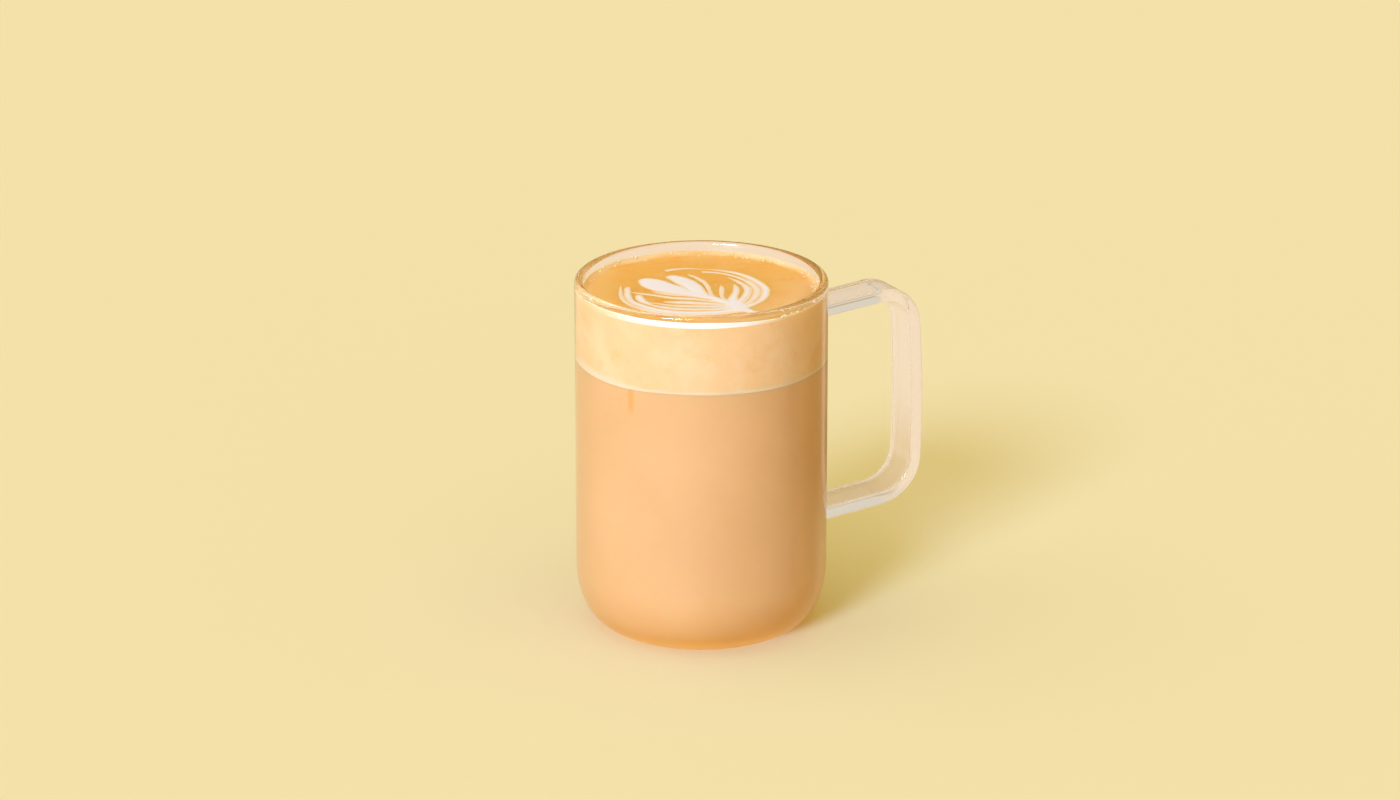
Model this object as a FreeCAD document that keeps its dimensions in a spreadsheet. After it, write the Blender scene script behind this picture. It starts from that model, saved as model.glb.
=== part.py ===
"""Latte in a straight glass mug with a strap handle.

The mug is one piece of clear glass: a tumbler with a rounded foot corner and a flat
strap handle melted onto its wall. It holds two layers, milky coffee below and thick
milk foam above, each filling the glass from wall to wall.

Frame: the origin is the centre of the flat foot, +Z is up, and the handle points
along +X. Lengths are in millimetres and angles in degrees.
"""
import FreeCAD, Part
import math
import os

import Sketcher

DIMENSIONS = [
    # alias, value, what it is
    ("OuterRadius", 41.0, "outside radius of the straight wall"),
    ("MugHeight", 117.15, "foot to rim"),
    ("WallThickness", 2.9, "thickness of the straight wall"),
    ("BaseThickness", 4.2, "glass under the drink"),
    ("FootRadius", 28.8, "radius of the flat that stands on the table"),
    ("CornerRise", 20.3, "height at which the foot corner meets the straight wall"),
    ("FloorRadius", 26.6, "radius of the flat floor inside"),
    ("RimRounding", 1.25, "radius of both edges of the rim"),
    ("StrapWidth", 14.2, "handle strap, side to side"),
    ("StrapThickness", 4.5, "handle strap, through"),
    ("StrapRounding", 1.2, "radius of the strap's four long edges"),
    ("StrapStart", 39.5, "where both ends of the strap sit inside the wall"),
    ("UpperArmHeight", 100.74, "centre of the upper arm at that place"),
    ("LowerArmHeight", 30.29, "centre of the lower arm at that place"),
    ("ArmSlope", 4.2, "how steeply both arms rise outwards, in degrees"),
    ("GripTopReach", 76.5, "axis to the top of the grip's centre line"),
    ("GripFootReach", 77.4, "axis to the foot of the grip's centre line"),
    ("UpperBend", 11.6, "centre-line radius of the upper corner"),
    ("LowerBend", 13.9, "centre-line radius of the lower corner"),
    ("GripBend", 384.0, "centre-line radius of the slightly bowed grip"),
    ("RootRounding", 1.8, "glass flowed between each arm and the wall"),
    ("LayerHeight", 90.4, "table to the line between coffee and foam"),
    ("DrinkHeight", 112.9, "table to the top of the foam"),
]
START, END, CENTRE = 1, 2, 3     # Sketcher's numbers for the points of a curve
UPRIGHT_AXIS = -2                # Sketcher's number for a sketch's own upright axis
ORIGIN = (-1, START)             # Sketcher's name for a sketch's own origin


def make_sheet(doc):
    """Write the driving dimensions into a spreadsheet, one aliased cell each."""
    sheet = doc.addObject("Spreadsheet::Sheet", "Dimensions")
    for row, (alias, value, meaning) in enumerate(DIMENSIONS, start=1):
        sheet.set(f"A{row}", meaning)
        sheet.set(f"B{row}", str(value))
        sheet.setAlias(f"B{row}", alias)
    doc.recompute()
    return sheet


def make_body(doc, label):
    """Start a body whose label names its file."""
    body = doc.addObject("PartDesign::Body", label)
    body.Label = label
    return body


class Outline:
    """A sketch on one of a body's origin planes, drawn and sized from the sheet."""

    def __init__(self, body, sheet, name, role):
        plane = next(plane for plane in body.Origin.OriginFeatures if plane.Role == role)
        self.sketch = body.newObject("Sketcher::SketchObject", name)
        self.sketch.AttachmentSupport = [(plane, "")]
        self.sketch.MapMode = "FlatFace"
        self.sheet = sheet

    def value(self, expression):
        """Work out an expression over the sheet's aliases, for a first guess."""
        return float(self.sheet.evalExpression(expression.replace("Dimensions.", "")))

    def line(self, start, end):
        """Draw a straight stretch between two points."""
        return self.sketch.addGeometry(
            Part.LineSegment(FreeCAD.Vector(*start, 0), FreeCAD.Vector(*end, 0)))

    def arc(self, centre, radius, first, last):
        """Draw an arc anticlockwise between two angles in degrees."""
        circle = Part.Circle(FreeCAD.Vector(*centre, 0), FreeCAD.Vector(0, 0, 1), radius)
        return self.sketch.addGeometry(
            Part.ArcOfCircle(circle, math.radians(first), math.radians(last)))

    def foot_corner(self, centre, across, down):
        """Draw the lower right quarter of an upright ellipse, from its foot to its side."""
        middle = FreeCAD.Vector(*centre, 0)
        ellipse = Part.Ellipse(middle - FreeCAD.Vector(0, down, 0),
                               middle + FreeCAD.Vector(across, 0, 0), middle)
        curve = self.sketch.addGeometry(Part.ArcOfEllipse(ellipse, 0.0, math.pi / 2))
        self.sketch.exposeInternalGeometry(curve)
        long_axis = curve + 1
        self.rule("Vertical", long_axis)
        self.rule("Vertical", curve, CENTRE, curve, START)
        self.rule("Horizontal", curve, CENTRE, curve, END)
        return curve

    def rule(self, kind, *ends):
        """Add a constraint that has no size."""
        self.sketch.addConstraint(Sketcher.Constraint(kind, *ends))

    def fix(self, name, kind, *ends, to):
        """Add a constraint whose size is bound to an expression over the sheet."""
        guess = self.value(to.replace("* 1 deg", ""))
        if kind == "Angle":
            guess = math.radians(guess)
        index = self.sketch.addConstraint(Sketcher.Constraint(kind, *ends, guess))
        self.sketch.renameConstraint(index, name)
        self.sketch.setExpression(f"Constraints.{name}", to)

    def join(self, *ends):
        """Make each pair of neighbouring ends in the list one point."""
        for first, second in zip(ends[0::2], ends[1::2]):
            self.rule("Coincident", *first, *second)


INNER_RADIUS = "Dimensions.OuterRadius - Dimensions.WallThickness"


def inner_corner(outline):
    """Draw and size the inside of the foot corner, shared by the mug and the coffee."""
    floor, base = outline.value("FloorRadius"), outline.value("BaseThickness")
    rise = outline.value("CornerRise")
    corner = outline.foot_corner(
        (floor, rise), outline.value(INNER_RADIUS) - floor, rise - base)
    outline.fix("FloorEdge", "DistanceX", *ORIGIN, corner, START, to="Dimensions.FloorRadius")
    outline.fix("FloorLevel", "DistanceY", *ORIGIN, corner, START, to="Dimensions.BaseThickness")
    outline.fix("InnerWall", "DistanceX", *ORIGIN, corner, END, to=INNER_RADIUS)
    outline.fix("InnerRise", "DistanceY", *ORIGIN, corner, END, to="Dimensions.CornerRise")
    return corner


def turn(body, name, outline):
    """Turn a half outline once round the upright axis."""
    feature = body.newObject("PartDesign::Revolution", name)
    feature.Profile = outline.sketch
    feature.ReferenceAxis = (outline.sketch, ["V_Axis"])
    feature.Angle = 360
    return feature


def draw_tumbler(body, sheet):
    """Draw the half outline of the mug's wall, foot corner and base."""
    half = Outline(body, sheet, "TumblerOutline", "YZ_Plane")
    radius, inner = half.value("OuterRadius"), half.value(INNER_RADIUS)
    foot, rise, rim = half.value("FootRadius"), half.value("CornerRise"), half.value("MugHeight")
    floor, base = half.value("FloorRadius"), half.value("BaseThickness")

    underside = half.line((0, 0), (foot, 0))
    corner = half.foot_corner((foot, rise), radius - foot, rise)
    outside = half.line((radius, rise), (radius, rim))
    top = half.line((radius, rim), (inner, rim))
    inside = half.line((inner, rim), (inner, rise))
    hollow = inner_corner(half)
    inner_floor = half.line((floor, base), (0, base))
    middle = half.line((0, base), (0, 0))

    half.join(ORIGIN, (underside, START),
              (underside, END), (corner, START),
              (corner, END), (outside, START),
              (outside, END), (top, START),
              (top, END), (inside, START),
              (inside, END), (hollow, END),
              (hollow, START), (inner_floor, START),
              (inner_floor, END), (middle, START),
              (middle, END), (underside, START))
    for flat in (underside, top, inner_floor):
        half.rule("Horizontal", flat)
    half.rule("Vertical", outside)
    half.rule("Vertical", inside)
    half.rule("Vertical", middle)
    half.fix("Foot", "DistanceX", *ORIGIN, corner, START, to="Dimensions.FootRadius")
    half.fix("OuterWall", "DistanceX", *ORIGIN, corner, END, to="Dimensions.OuterRadius")
    half.fix("OuterRise", "DistanceY", *ORIGIN, corner, END, to="Dimensions.CornerRise")
    half.fix("Rim", "DistanceY", *ORIGIN, outside, END, to="Dimensions.MugHeight")
    return half


def draw_strap_path(body, sheet):
    """Draw the strap's centre line: out along one arm, down the grip, back along the other."""
    path = Outline(body, sheet, "StrapPath", "XZ_Plane")
    start, slope = path.value("StrapStart"), math.tan(math.radians(path.value("ArmSlope")))
    upper, lower = path.value("UpperArmHeight"), path.value("LowerArmHeight")
    upper_bend, lower_bend = path.value("UpperBend"), path.value("LowerBend")
    grip_bend = path.value("GripBend")

    upper_turn = path.value("GripTopReach") - upper_bend
    lower_turn = path.value("GripFootReach") - lower_bend
    upper_end = upper + slope * (upper_turn - start)
    lower_end = lower + slope * (lower_turn - start)
    grip_top, grip_foot = upper_end - upper_bend, lower_end + lower_bend
    swing = math.degrees(math.asin((grip_top - grip_foot) / 2 / grip_bend))

    upper_arm = path.line((start, upper), (upper_turn, upper_end))
    upper_corner = path.arc((upper_turn, grip_top), upper_bend, 0, 90)
    grip = path.arc((path.value("GripTopReach") - grip_bend, (grip_top + grip_foot) / 2),
                    grip_bend, -swing, swing)
    lower_corner = path.arc((lower_turn, grip_foot), lower_bend, -90, 0)
    lower_arm = path.line((lower_turn, lower_end), (start, lower))

    path.rule("Tangent", upper_arm, END, upper_corner, END)
    path.rule("Tangent", upper_corner, START, grip, END)
    path.rule("Tangent", grip, START, lower_corner, END)
    path.rule("Tangent", lower_corner, START, lower_arm, START)
    path.fix("UpperStart", "DistanceX", *ORIGIN, upper_arm, START, to="Dimensions.StrapStart")
    path.fix("LowerStart", "DistanceX", *ORIGIN, lower_arm, END, to="Dimensions.StrapStart")
    path.fix("UpperArm", "DistanceY", *ORIGIN, upper_arm, START, to="Dimensions.UpperArmHeight")
    path.fix("LowerArm", "DistanceY", *ORIGIN, lower_arm, END, to="Dimensions.LowerArmHeight")
    path.fix("UpperSlope", "Angle", upper_arm, to="Dimensions.ArmSlope * 1 deg")
    path.rule("Parallel", upper_arm, lower_arm)
    path.fix("UpperBend", "Radius", upper_corner, to="Dimensions.UpperBend")
    path.fix("LowerBend", "Radius", lower_corner, to="Dimensions.LowerBend")
    path.fix("GripBend", "Radius", grip, to="Dimensions.GripBend")
    path.fix("GripTop", "DistanceX", *ORIGIN, grip, END, to="Dimensions.GripTopReach")
    path.fix("GripFoot", "DistanceX", *ORIGIN, grip, START, to="Dimensions.GripFootReach")
    return path


def draw_strap_section(body, sheet):
    """Draw the strap's section, a rectangle with rounded corners, where its path begins."""
    section = Outline(body, sheet, "StrapSection", "YZ_Plane")
    section.sketch.setExpression("AttachmentOffset.Base.z", "Dimensions.StrapStart")
    rounding, middle = section.value("StrapRounding"), section.value("UpperArmHeight")
    side, top = section.value("StrapWidth") / 2, section.value("StrapThickness") / 2

    # The four sides anticlockwise from the lower one, with a rounded corner after each.
    sides, corners = [], []
    for quarter in range(4):
        half_along, half_across = (side, top) if quarter % 2 == 0 else (top, side)
        facing = math.radians(90 * quarter)
        cos, sin = round(math.cos(facing)), round(math.sin(facing))

        def place(along, across):
            """Turn a point of the lower side round to this side."""
            return (along * cos - across * sin, along * sin + across * cos + middle)

        straight = half_along - rounding
        sides.append(section.line(place(-straight, -half_across), place(straight, -half_across)))
        corners.append(section.arc(place(straight, rounding - half_across), rounding,
                                   90 * quarter - 90, 90 * quarter))
    for quarter in range(4):
        section.rule("Tangent", sides[quarter], END, corners[quarter], START)
        section.rule("Tangent", corners[quarter], END, sides[(quarter + 1) % 4], START)
        section.rule("Vertical" if quarter % 2 else "Horizontal", sides[quarter])
    for corner in corners[1:3]:
        section.rule("Equal", corners[0], corner)
    bottom, right, upper, left = sides
    section.fix("Rounding", "Radius", corners[0], to="Dimensions.StrapRounding")
    section.fix("Width", "DistanceX", left, START, right, START, to="Dimensions.StrapWidth")
    section.fix("Thickness", "DistanceY", bottom, START, upper, START,
                to="Dimensions.StrapThickness")
    section.rule("Symmetric", corners[0], CENTRE, corners[3], CENTRE, UPRIGHT_AXIS)
    section.fix("Level", "DistanceY", *ORIGIN, bottom, START,
                to="Dimensions.UpperArmHeight - Dimensions.StrapThickness / 2")
    return section


def rim_edges(shape, radius, height):
    """Name the circles where a flat rim meets the outside and the inside of the wall."""
    names = []
    for index, edge in enumerate(shape.Edges, start=1):
        box = edge.BoundBox
        if box.ZMin > height - 0.01 and box.XMax > radius / 2:
            names.append(f"Edge{index}")
    return names


def root_edges(shape, radius, half_width):
    """Name the edges where the strap's arms meet the outside of the wall."""
    names = []
    for index, edge in enumerate(shape.Edges, start=1):
        first, last = edge.ParameterRange
        points = [edge.valueAt(first + (last - first) * share) for share in (0, 0.5, 1)]
        on_wall = all(abs(math.hypot(point.x, point.y) - radius) < 0.02 for point in points)
        beside = all(point.x > 0 and abs(point.y) < half_width + 0.1 for point in points)
        if on_wall and beside:
            names.append(f"Edge{index}")
    return names


def round_edges(body, name, base, edges, expression):
    """Round the named edges of a feature with a radius from the sheet."""
    feature = body.newObject("PartDesign::Fillet", name)
    feature.Base = (base, edges)
    feature.setExpression("Radius", expression)
    return feature


def make_mug(doc, sheet):
    """Make the glass mug with its handle, one solid."""
    body = make_body(doc, "glass_mug")
    outline = draw_tumbler(body, sheet)
    tumbler = turn(body, "Tumbler", outline)
    doc.recompute()
    rim = round_edges(body, "Rim", tumbler,
                      rim_edges(tumbler.Shape, sheet.OuterRadius, sheet.MugHeight),
                      "Dimensions.RimRounding")
    path = draw_strap_path(body, sheet)
    section = draw_strap_section(body, sheet)
    doc.recompute()
    handle = body.newObject("PartDesign::AdditivePipe", "Handle")
    handle.Profile = section.sketch
    handle.Spine = (path.sketch, [])
    handle.Mode = "Frenet"
    doc.recompute()
    if handle.Shape.Volume <= rim.Shape.Volume:
        raise RuntimeError("the handle adds nothing to the mug")
    round_edges(body, "Roots", handle,
                root_edges(handle.Shape, sheet.OuterRadius, sheet.StrapWidth / 2),
                "Dimensions.RootRounding")
    doc.recompute()
    return body


def make_coffee(doc, sheet):
    """Make the layer of milky coffee that fills the mug up to the foam."""
    body = make_body(doc, "milk_coffee")
    half = Outline(body, sheet, "CoffeeOutline", "YZ_Plane")
    inner, rise, layer = half.value(INNER_RADIUS), half.value("CornerRise"), half.value("LayerHeight")
    floor, base = half.value("FloorRadius"), half.value("BaseThickness")

    underside = half.line((0, base), (floor, base))
    corner = inner_corner(half)
    outside = half.line((inner, rise), (inner, layer))
    top = half.line((inner, layer), (0, layer))
    middle = half.line((0, layer), (0, base))
    half.join((underside, END), (corner, START),
              (corner, END), (outside, START),
              (outside, END), (top, START),
              (top, END), (middle, START),
              (middle, END), (underside, START))
    half.rule("Horizontal", underside)
    half.rule("Vertical", outside)
    half.rule("Horizontal", top)
    half.rule("PointOnObject", underside, START, UPRIGHT_AXIS)
    half.rule("PointOnObject", middle, START, UPRIGHT_AXIS)
    half.fix("Layer", "DistanceY", *ORIGIN, outside, END, to="Dimensions.LayerHeight")
    turn(body, "Coffee", half)
    doc.recompute()
    return body


def make_foam(doc, sheet):
    """Make the thick foam above the coffee, a flat-topped layer from wall to wall."""
    body = make_body(doc, "milk_foam")
    half = Outline(body, sheet, "FoamOutline", "YZ_Plane")
    inner, layer, level = half.value(INNER_RADIUS), half.value("LayerHeight"), half.value("DrinkHeight")

    underside = half.line((0, layer), (inner, layer))
    outside = half.line((inner, layer), (inner, level))
    top = half.line((inner, level), (0, level))
    middle = half.line((0, level), (0, layer))
    half.join((underside, END), (outside, START),
              (outside, END), (top, START),
              (top, END), (middle, START),
              (middle, END), (underside, START))
    half.rule("Horizontal", underside)
    half.rule("Vertical", outside)
    half.rule("Horizontal", top)
    half.rule("PointOnObject", underside, START, UPRIGHT_AXIS)
    half.rule("PointOnObject", middle, START, UPRIGHT_AXIS)
    half.fix("Wall", "DistanceX", *ORIGIN, outside, START, to=INNER_RADIUS)
    half.fix("Layer", "DistanceY", *ORIGIN, outside, START, to="Dimensions.LayerHeight")
    half.fix("Level", "DistanceY", *ORIGIN, outside, END, to="Dimensions.DrinkHeight")
    turn(body, "Foam", half)
    doc.recompute()
    return body


def check(doc, bodies):
    """Stop unless every object computed and every sub-part is one valid solid."""
    for item in doc.Objects:
        faults = [word for word in item.State if word in ("Invalid", "Error")]
        if faults:
            raise RuntimeError(f"{item.Label} is {', '.join(faults)}")
    for body in bodies:
        shape = body.Shape
        if shape.isNull() or not shape.isValid() or len(shape.Solids) != 1:
            raise RuntimeError(f"{body.Label} is not one valid solid")


def main():
    """Build the document, check it and write one file for each sub-part."""
    os.makedirs("parts", exist_ok=True)
    doc = FreeCAD.newDocument("Latte")
    sheet = make_sheet(doc)
    bodies = [make(doc, sheet) for make in (make_mug, make_coffee, make_foam)]
    check(doc, bodies)
    for body in bodies:
        body.Shape.exportStep(f"parts/{body.Label}.step")
        print(f"{body.Label}: {body.Shape.Volume / 1000:.1f} cm3")


main()
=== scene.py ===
"""Looks of a latte in a clear glass mug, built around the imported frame.

The glass is made again here, on the sizes of the frame's own solid but with finer and
smoother faces, because clear glass shows every flat. The drink is two opaque bodies,
milky coffee below and thick foam above, which reach just into the glass. On the foam
lies the milk that was poured as a leaf, and small bubbles gather where the foam meets
the glass.

Shapes are worked out in millimetres and handed to Blender in metres.
"""
from __future__ import annotations

import logging
import math
from collections.abc import Sequence
from dataclasses import dataclass
from enum import Enum

import bmesh
import bpy
import numpy as np
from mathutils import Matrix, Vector
from mathutils.geometry import delaunay_2d_cdt


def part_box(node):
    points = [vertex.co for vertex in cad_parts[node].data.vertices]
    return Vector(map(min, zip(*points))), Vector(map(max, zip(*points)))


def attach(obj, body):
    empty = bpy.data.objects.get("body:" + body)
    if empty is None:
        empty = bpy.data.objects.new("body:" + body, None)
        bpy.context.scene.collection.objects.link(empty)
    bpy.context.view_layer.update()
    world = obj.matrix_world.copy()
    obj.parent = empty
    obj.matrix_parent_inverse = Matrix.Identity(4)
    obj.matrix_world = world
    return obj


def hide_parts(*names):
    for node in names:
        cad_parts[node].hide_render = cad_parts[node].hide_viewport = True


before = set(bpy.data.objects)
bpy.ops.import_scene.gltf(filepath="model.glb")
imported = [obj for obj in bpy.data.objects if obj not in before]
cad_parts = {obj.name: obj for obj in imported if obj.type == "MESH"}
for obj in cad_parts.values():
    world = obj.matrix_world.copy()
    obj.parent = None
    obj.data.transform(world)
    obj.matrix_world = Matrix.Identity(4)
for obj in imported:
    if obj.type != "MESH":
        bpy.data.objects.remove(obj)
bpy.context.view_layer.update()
LOG = logging.getLogger("latte")
MM = 0.001
BODY = "root"

# The side of the mug that faces the drinker, turned about Z from -Y. The handle is on +X.
FRONT_TURN = math.radians(-28.84)

Array = np.ndarray
Colour = tuple[float, float, float, float]
Span = tuple[float, float]
Socket = bpy.types.NodeSocket
UP = Vector((0.0, 0.0, 1.0))
SCATTER_SCALE = 0.003                 # how far light travels inside the drink, m
FROTH_GRAIN = (2600.0, 3.0, 0.6)      # its noise's scale per metre, detail and roughness
SHARP_EDGE = math.radians(50.0)


def srgb(red: float, green: float, blue: float) -> Colour:
    """Turn a display colour, each part 0 to 255, into the linear colour that a node holds."""
    def linear(part: float) -> float:
        """Undo the display curve for one part."""
        part /= 255.0
        return part / 12.92 if part <= 0.04045 else ((part + 0.055) / 1.055) ** 2.4
    return (linear(red), linear(green), linear(blue), 1.0)


def turned(x: Array | float, y: Array | float, turn: float) -> tuple[Array, Array]:
    """Turn points about Z.

    Args:
        x: first coordinates.
        y: second coordinates.
        turn: angle in radians.

    Returns:
        The turned coordinates.
    """
    return x * math.cos(turn) - y * math.sin(turn), x * math.sin(turn) + y * math.cos(turn)


def fade(low: float, high: float, value: Array | float) -> Array:
    """Rise smoothly from 0 at low to 1 at high."""
    share = np.clip((value - low) / (high - low), 0.0, 1.0)
    return share * share * (3.0 - 2.0 * share)


def ripple(x: Array, y: Array, wave: float, seed: float) -> Array:
    """Give a smooth uneven field between about -1 and 1.

    Args:
        x: first coordinates, in any unit.
        y: second coordinates.
        wave: rough size of one swell, in the same unit.
        seed: shifts the field.

    Returns:
        The field's value at each point.
    """
    total = np.zeros_like(np.asarray(x, float))
    for index in range(1, 6):
        heading = seed * 1.7 + index * 2.399
        pace = 2.0 * math.pi / wave * (0.6 + 0.23 * index)
        across = x * math.cos(heading) + y * math.sin(heading)
        total = total + np.sin(pace * across + seed * index)
    return total / 3.0


# ---------------------------------------------------------------- materials


@dataclass(frozen=True)
class Patches:
    """Uneven patches of a second colour: a noise, and the levels where it is cut."""

    scale: float          # swells for each metre
    detail: float
    roughness: float
    low: float            # level where the second colour begins
    high: float           # level where it is full


class Nodes:
    """A material's or world's node tree, with short ways to add and join nodes."""

    def __init__(self, name: str, world: bool = False) -> None:
        """Start an empty material, or an empty world, of that name."""
        self.owner = bpy.data.worlds.new(name) if world else bpy.data.materials.new(name)
        self.owner.use_nodes = True
        self.tree = self.owner.node_tree
        self.tree.nodes.clear()
        self.output = self.tree.nodes.new("ShaderNodeOutput" + ("World" if world else "Material"))
        place = self.tree.nodes.new("ShaderNodeTexCoord")
        self.coords = place.outputs["Generated" if world else "Object"]

    def add(self, kind: str, **inputs: object) -> bpy.types.ShaderNode:
        """Add a node and fill its inputs.

        Args:
            kind: the node's type, without its leading ShaderNode.
            inputs: values or sockets by input name, with underscores for spaces.

        Returns:
            The new node.
        """
        node = self.tree.nodes.new("ShaderNode" + kind)
        for name, value in inputs.items():
            self.put(value, node.inputs[name.replace("_", " ")])
        return node

    def put(self, value: object, socket: Socket) -> None:
        """Link a socket to an input, or set the input's own value."""
        if isinstance(value, bpy.types.NodeSocket):
            self.tree.links.new(value, socket)
        else:
            socket.default_value = value

    def math(self, operation: str, *values: object) -> Socket:
        """Combine up to three numbers or sockets and return the result's socket."""
        node = self.tree.nodes.new("ShaderNodeMath")
        node.operation = operation
        for index, value in enumerate(values):
            self.put(value, node.inputs[index])
        return node.outputs[0]

    def mix(self, factor: object, first: object, second: object) -> Socket:
        """Blend two colours and return the result's socket."""
        node = self.tree.nodes.new("ShaderNodeMix")
        node.data_type = "RGBA"
        self.put(factor, node.inputs[0])
        self.put(first, node.inputs[6])
        self.put(second, node.inputs[7])
        return node.outputs[2]

    def noise(self, scale: float, detail: float, roughness: float) -> Socket:
        """Add a noise, its scale per metre, and return its value's socket."""
        node = self.add("TexNoise", Vector=self.coords, Scale=scale, Detail=detail,
                        Roughness=roughness)
        return node.outputs["Fac"]

    def patches(self, patches: Patches) -> Socket:
        """Say where uneven patches lie, from 0 between them to 1 inside."""
        noise = self.noise(patches.scale, patches.detail, patches.roughness)
        return self.step(noise, patches.low, patches.high)

    def grain(self, depth: float) -> Socket:
        """Give the normal of a fine grain on the foam, its depth in metres."""
        return self.bump(self.noise(*FROTH_GRAIN), depth)

    def along(self, direction: Vector) -> Socket:
        """Measure how far a point, or a direction of view, lies along a direction."""
        node = self.add("VectorMath")
        node.operation = "DOT_PRODUCT"
        self.put(self.coords, node.inputs[0])
        self.put(direction, node.inputs[1])
        return node.outputs["Value"]

    def value(self, name: str) -> Socket:
        """Read a mesh attribute by name."""
        node = self.add("Attribute")
        node.attribute_name = name
        return node.outputs["Fac"]

    def step(self, value: Socket, low: float, high: float) -> Socket:
        """Rise smoothly from 0 at low to 1 at high."""
        node = self.add("MapRange", Value=value, From_Min=low, From_Max=high)
        node.interpolation_type = "SMOOTHSTEP"
        return node.outputs[0]

    def bump(self, height: Socket, depth: float) -> Socket:
        """Turn a height from 0 to 1 into a normal, its depth in metres."""
        return self.add("Bump", Height=height, Distance=depth, Strength=1.0).outputs[0]

    def choose(self, factor: object, first: Socket, second: Socket) -> Socket:
        """Mix two shaders and return the result's socket."""
        node = self.add("MixShader", Fac=factor)
        self.put(first, node.inputs[1])
        self.put(second, node.inputs[2])
        return node.outputs[0]

    def finish(self, shader: Socket) -> bpy.types.Material | bpy.types.World:
        """Join the surface and hand back the material or world."""
        self.tree.links.new(shader, self.output.inputs["Surface"])
        return self.owner


@dataclass(frozen=True)
class ClearGlass:
    """Clear blown glass, smooth and very slightly green in its thick parts."""

    tint: Colour = (0.985, 0.992, 0.985, 1.0)
    shade: Colour = (0.93, 0.93, 0.93, 1.0)
    refraction: float = 1.47
    roughness: float = 0.012

    def build(self) -> bpy.types.Material:
        """Make glass that bends the view and lets the lamps through to the drink."""
        nodes = Nodes("clear_glass")
        glass = nodes.add("BsdfPrincipled", Base_Color=self.tint, IOR=self.refraction,
                          Roughness=self.roughness, Transmission_Weight=1.0)
        clear = nodes.add("BsdfTransparent", Color=self.shade)
        path = nodes.add("LightPath")
        return nodes.finish(nodes.choose(path.outputs["Is Shadow Ray"], glass.outputs[0],
                                         clear.outputs[0]))


@dataclass(frozen=True)
class Crema:
    """The coffee-stained top of the foam, and the colour that the poured milk fades into."""

    main: Colour = (0.86, 0.455, 0.09, 1.0)
    pale: Colour = (0.87, 0.50, 0.145, 1.0)
    deep: Colour = (0.86, 0.41, 0.065, 1.0)
    milky: Colour = (0.88, 0.54, 0.235, 1.0)
    swirl: Patches = Patches(55.0, 3.0, 0.55, 0.40, 0.62)
    spots: Patches = Patches(130.0, 4.0, 0.6, 0.46, 0.66)
    milky_turn: float = -0.6           # where it is milky, radians from the drinker's right
    milky_span: Span = (0.012, 0.034)  # distance from the middle, m
    painted_light_span: Span = (0.024, 0.034)   # painted light near the wall on the drinker's left, the key's side; distance from the middle, m

    def colour(self, nodes: Nodes) -> Socket:
        """Add the crema's uneven colour, with painted light near the wall on the drinker's left,
        to a material and return its socket.
        """
        base = nodes.mix(nodes.patches(self.swirl), self.main, self.pale)
        base = nodes.mix(nodes.patches(self.spots), base, self.deep)
        turn = FRONT_TURN + self.milky_turn
        side = nodes.along(Vector((math.cos(turn), math.sin(turn), 0.0)))
        base = nodes.mix(nodes.step(side, *self.milky_span), base, self.milky)
        # Painted light: the crema is paler near the wall on the drinker's left, the side of the
        # key.
        left = nodes.along(Vector((-math.cos(FRONT_TURN), -math.sin(FRONT_TURN), 0.0)))
        return nodes.mix(nodes.step(left, *self.painted_light_span), base, self.pale)


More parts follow.
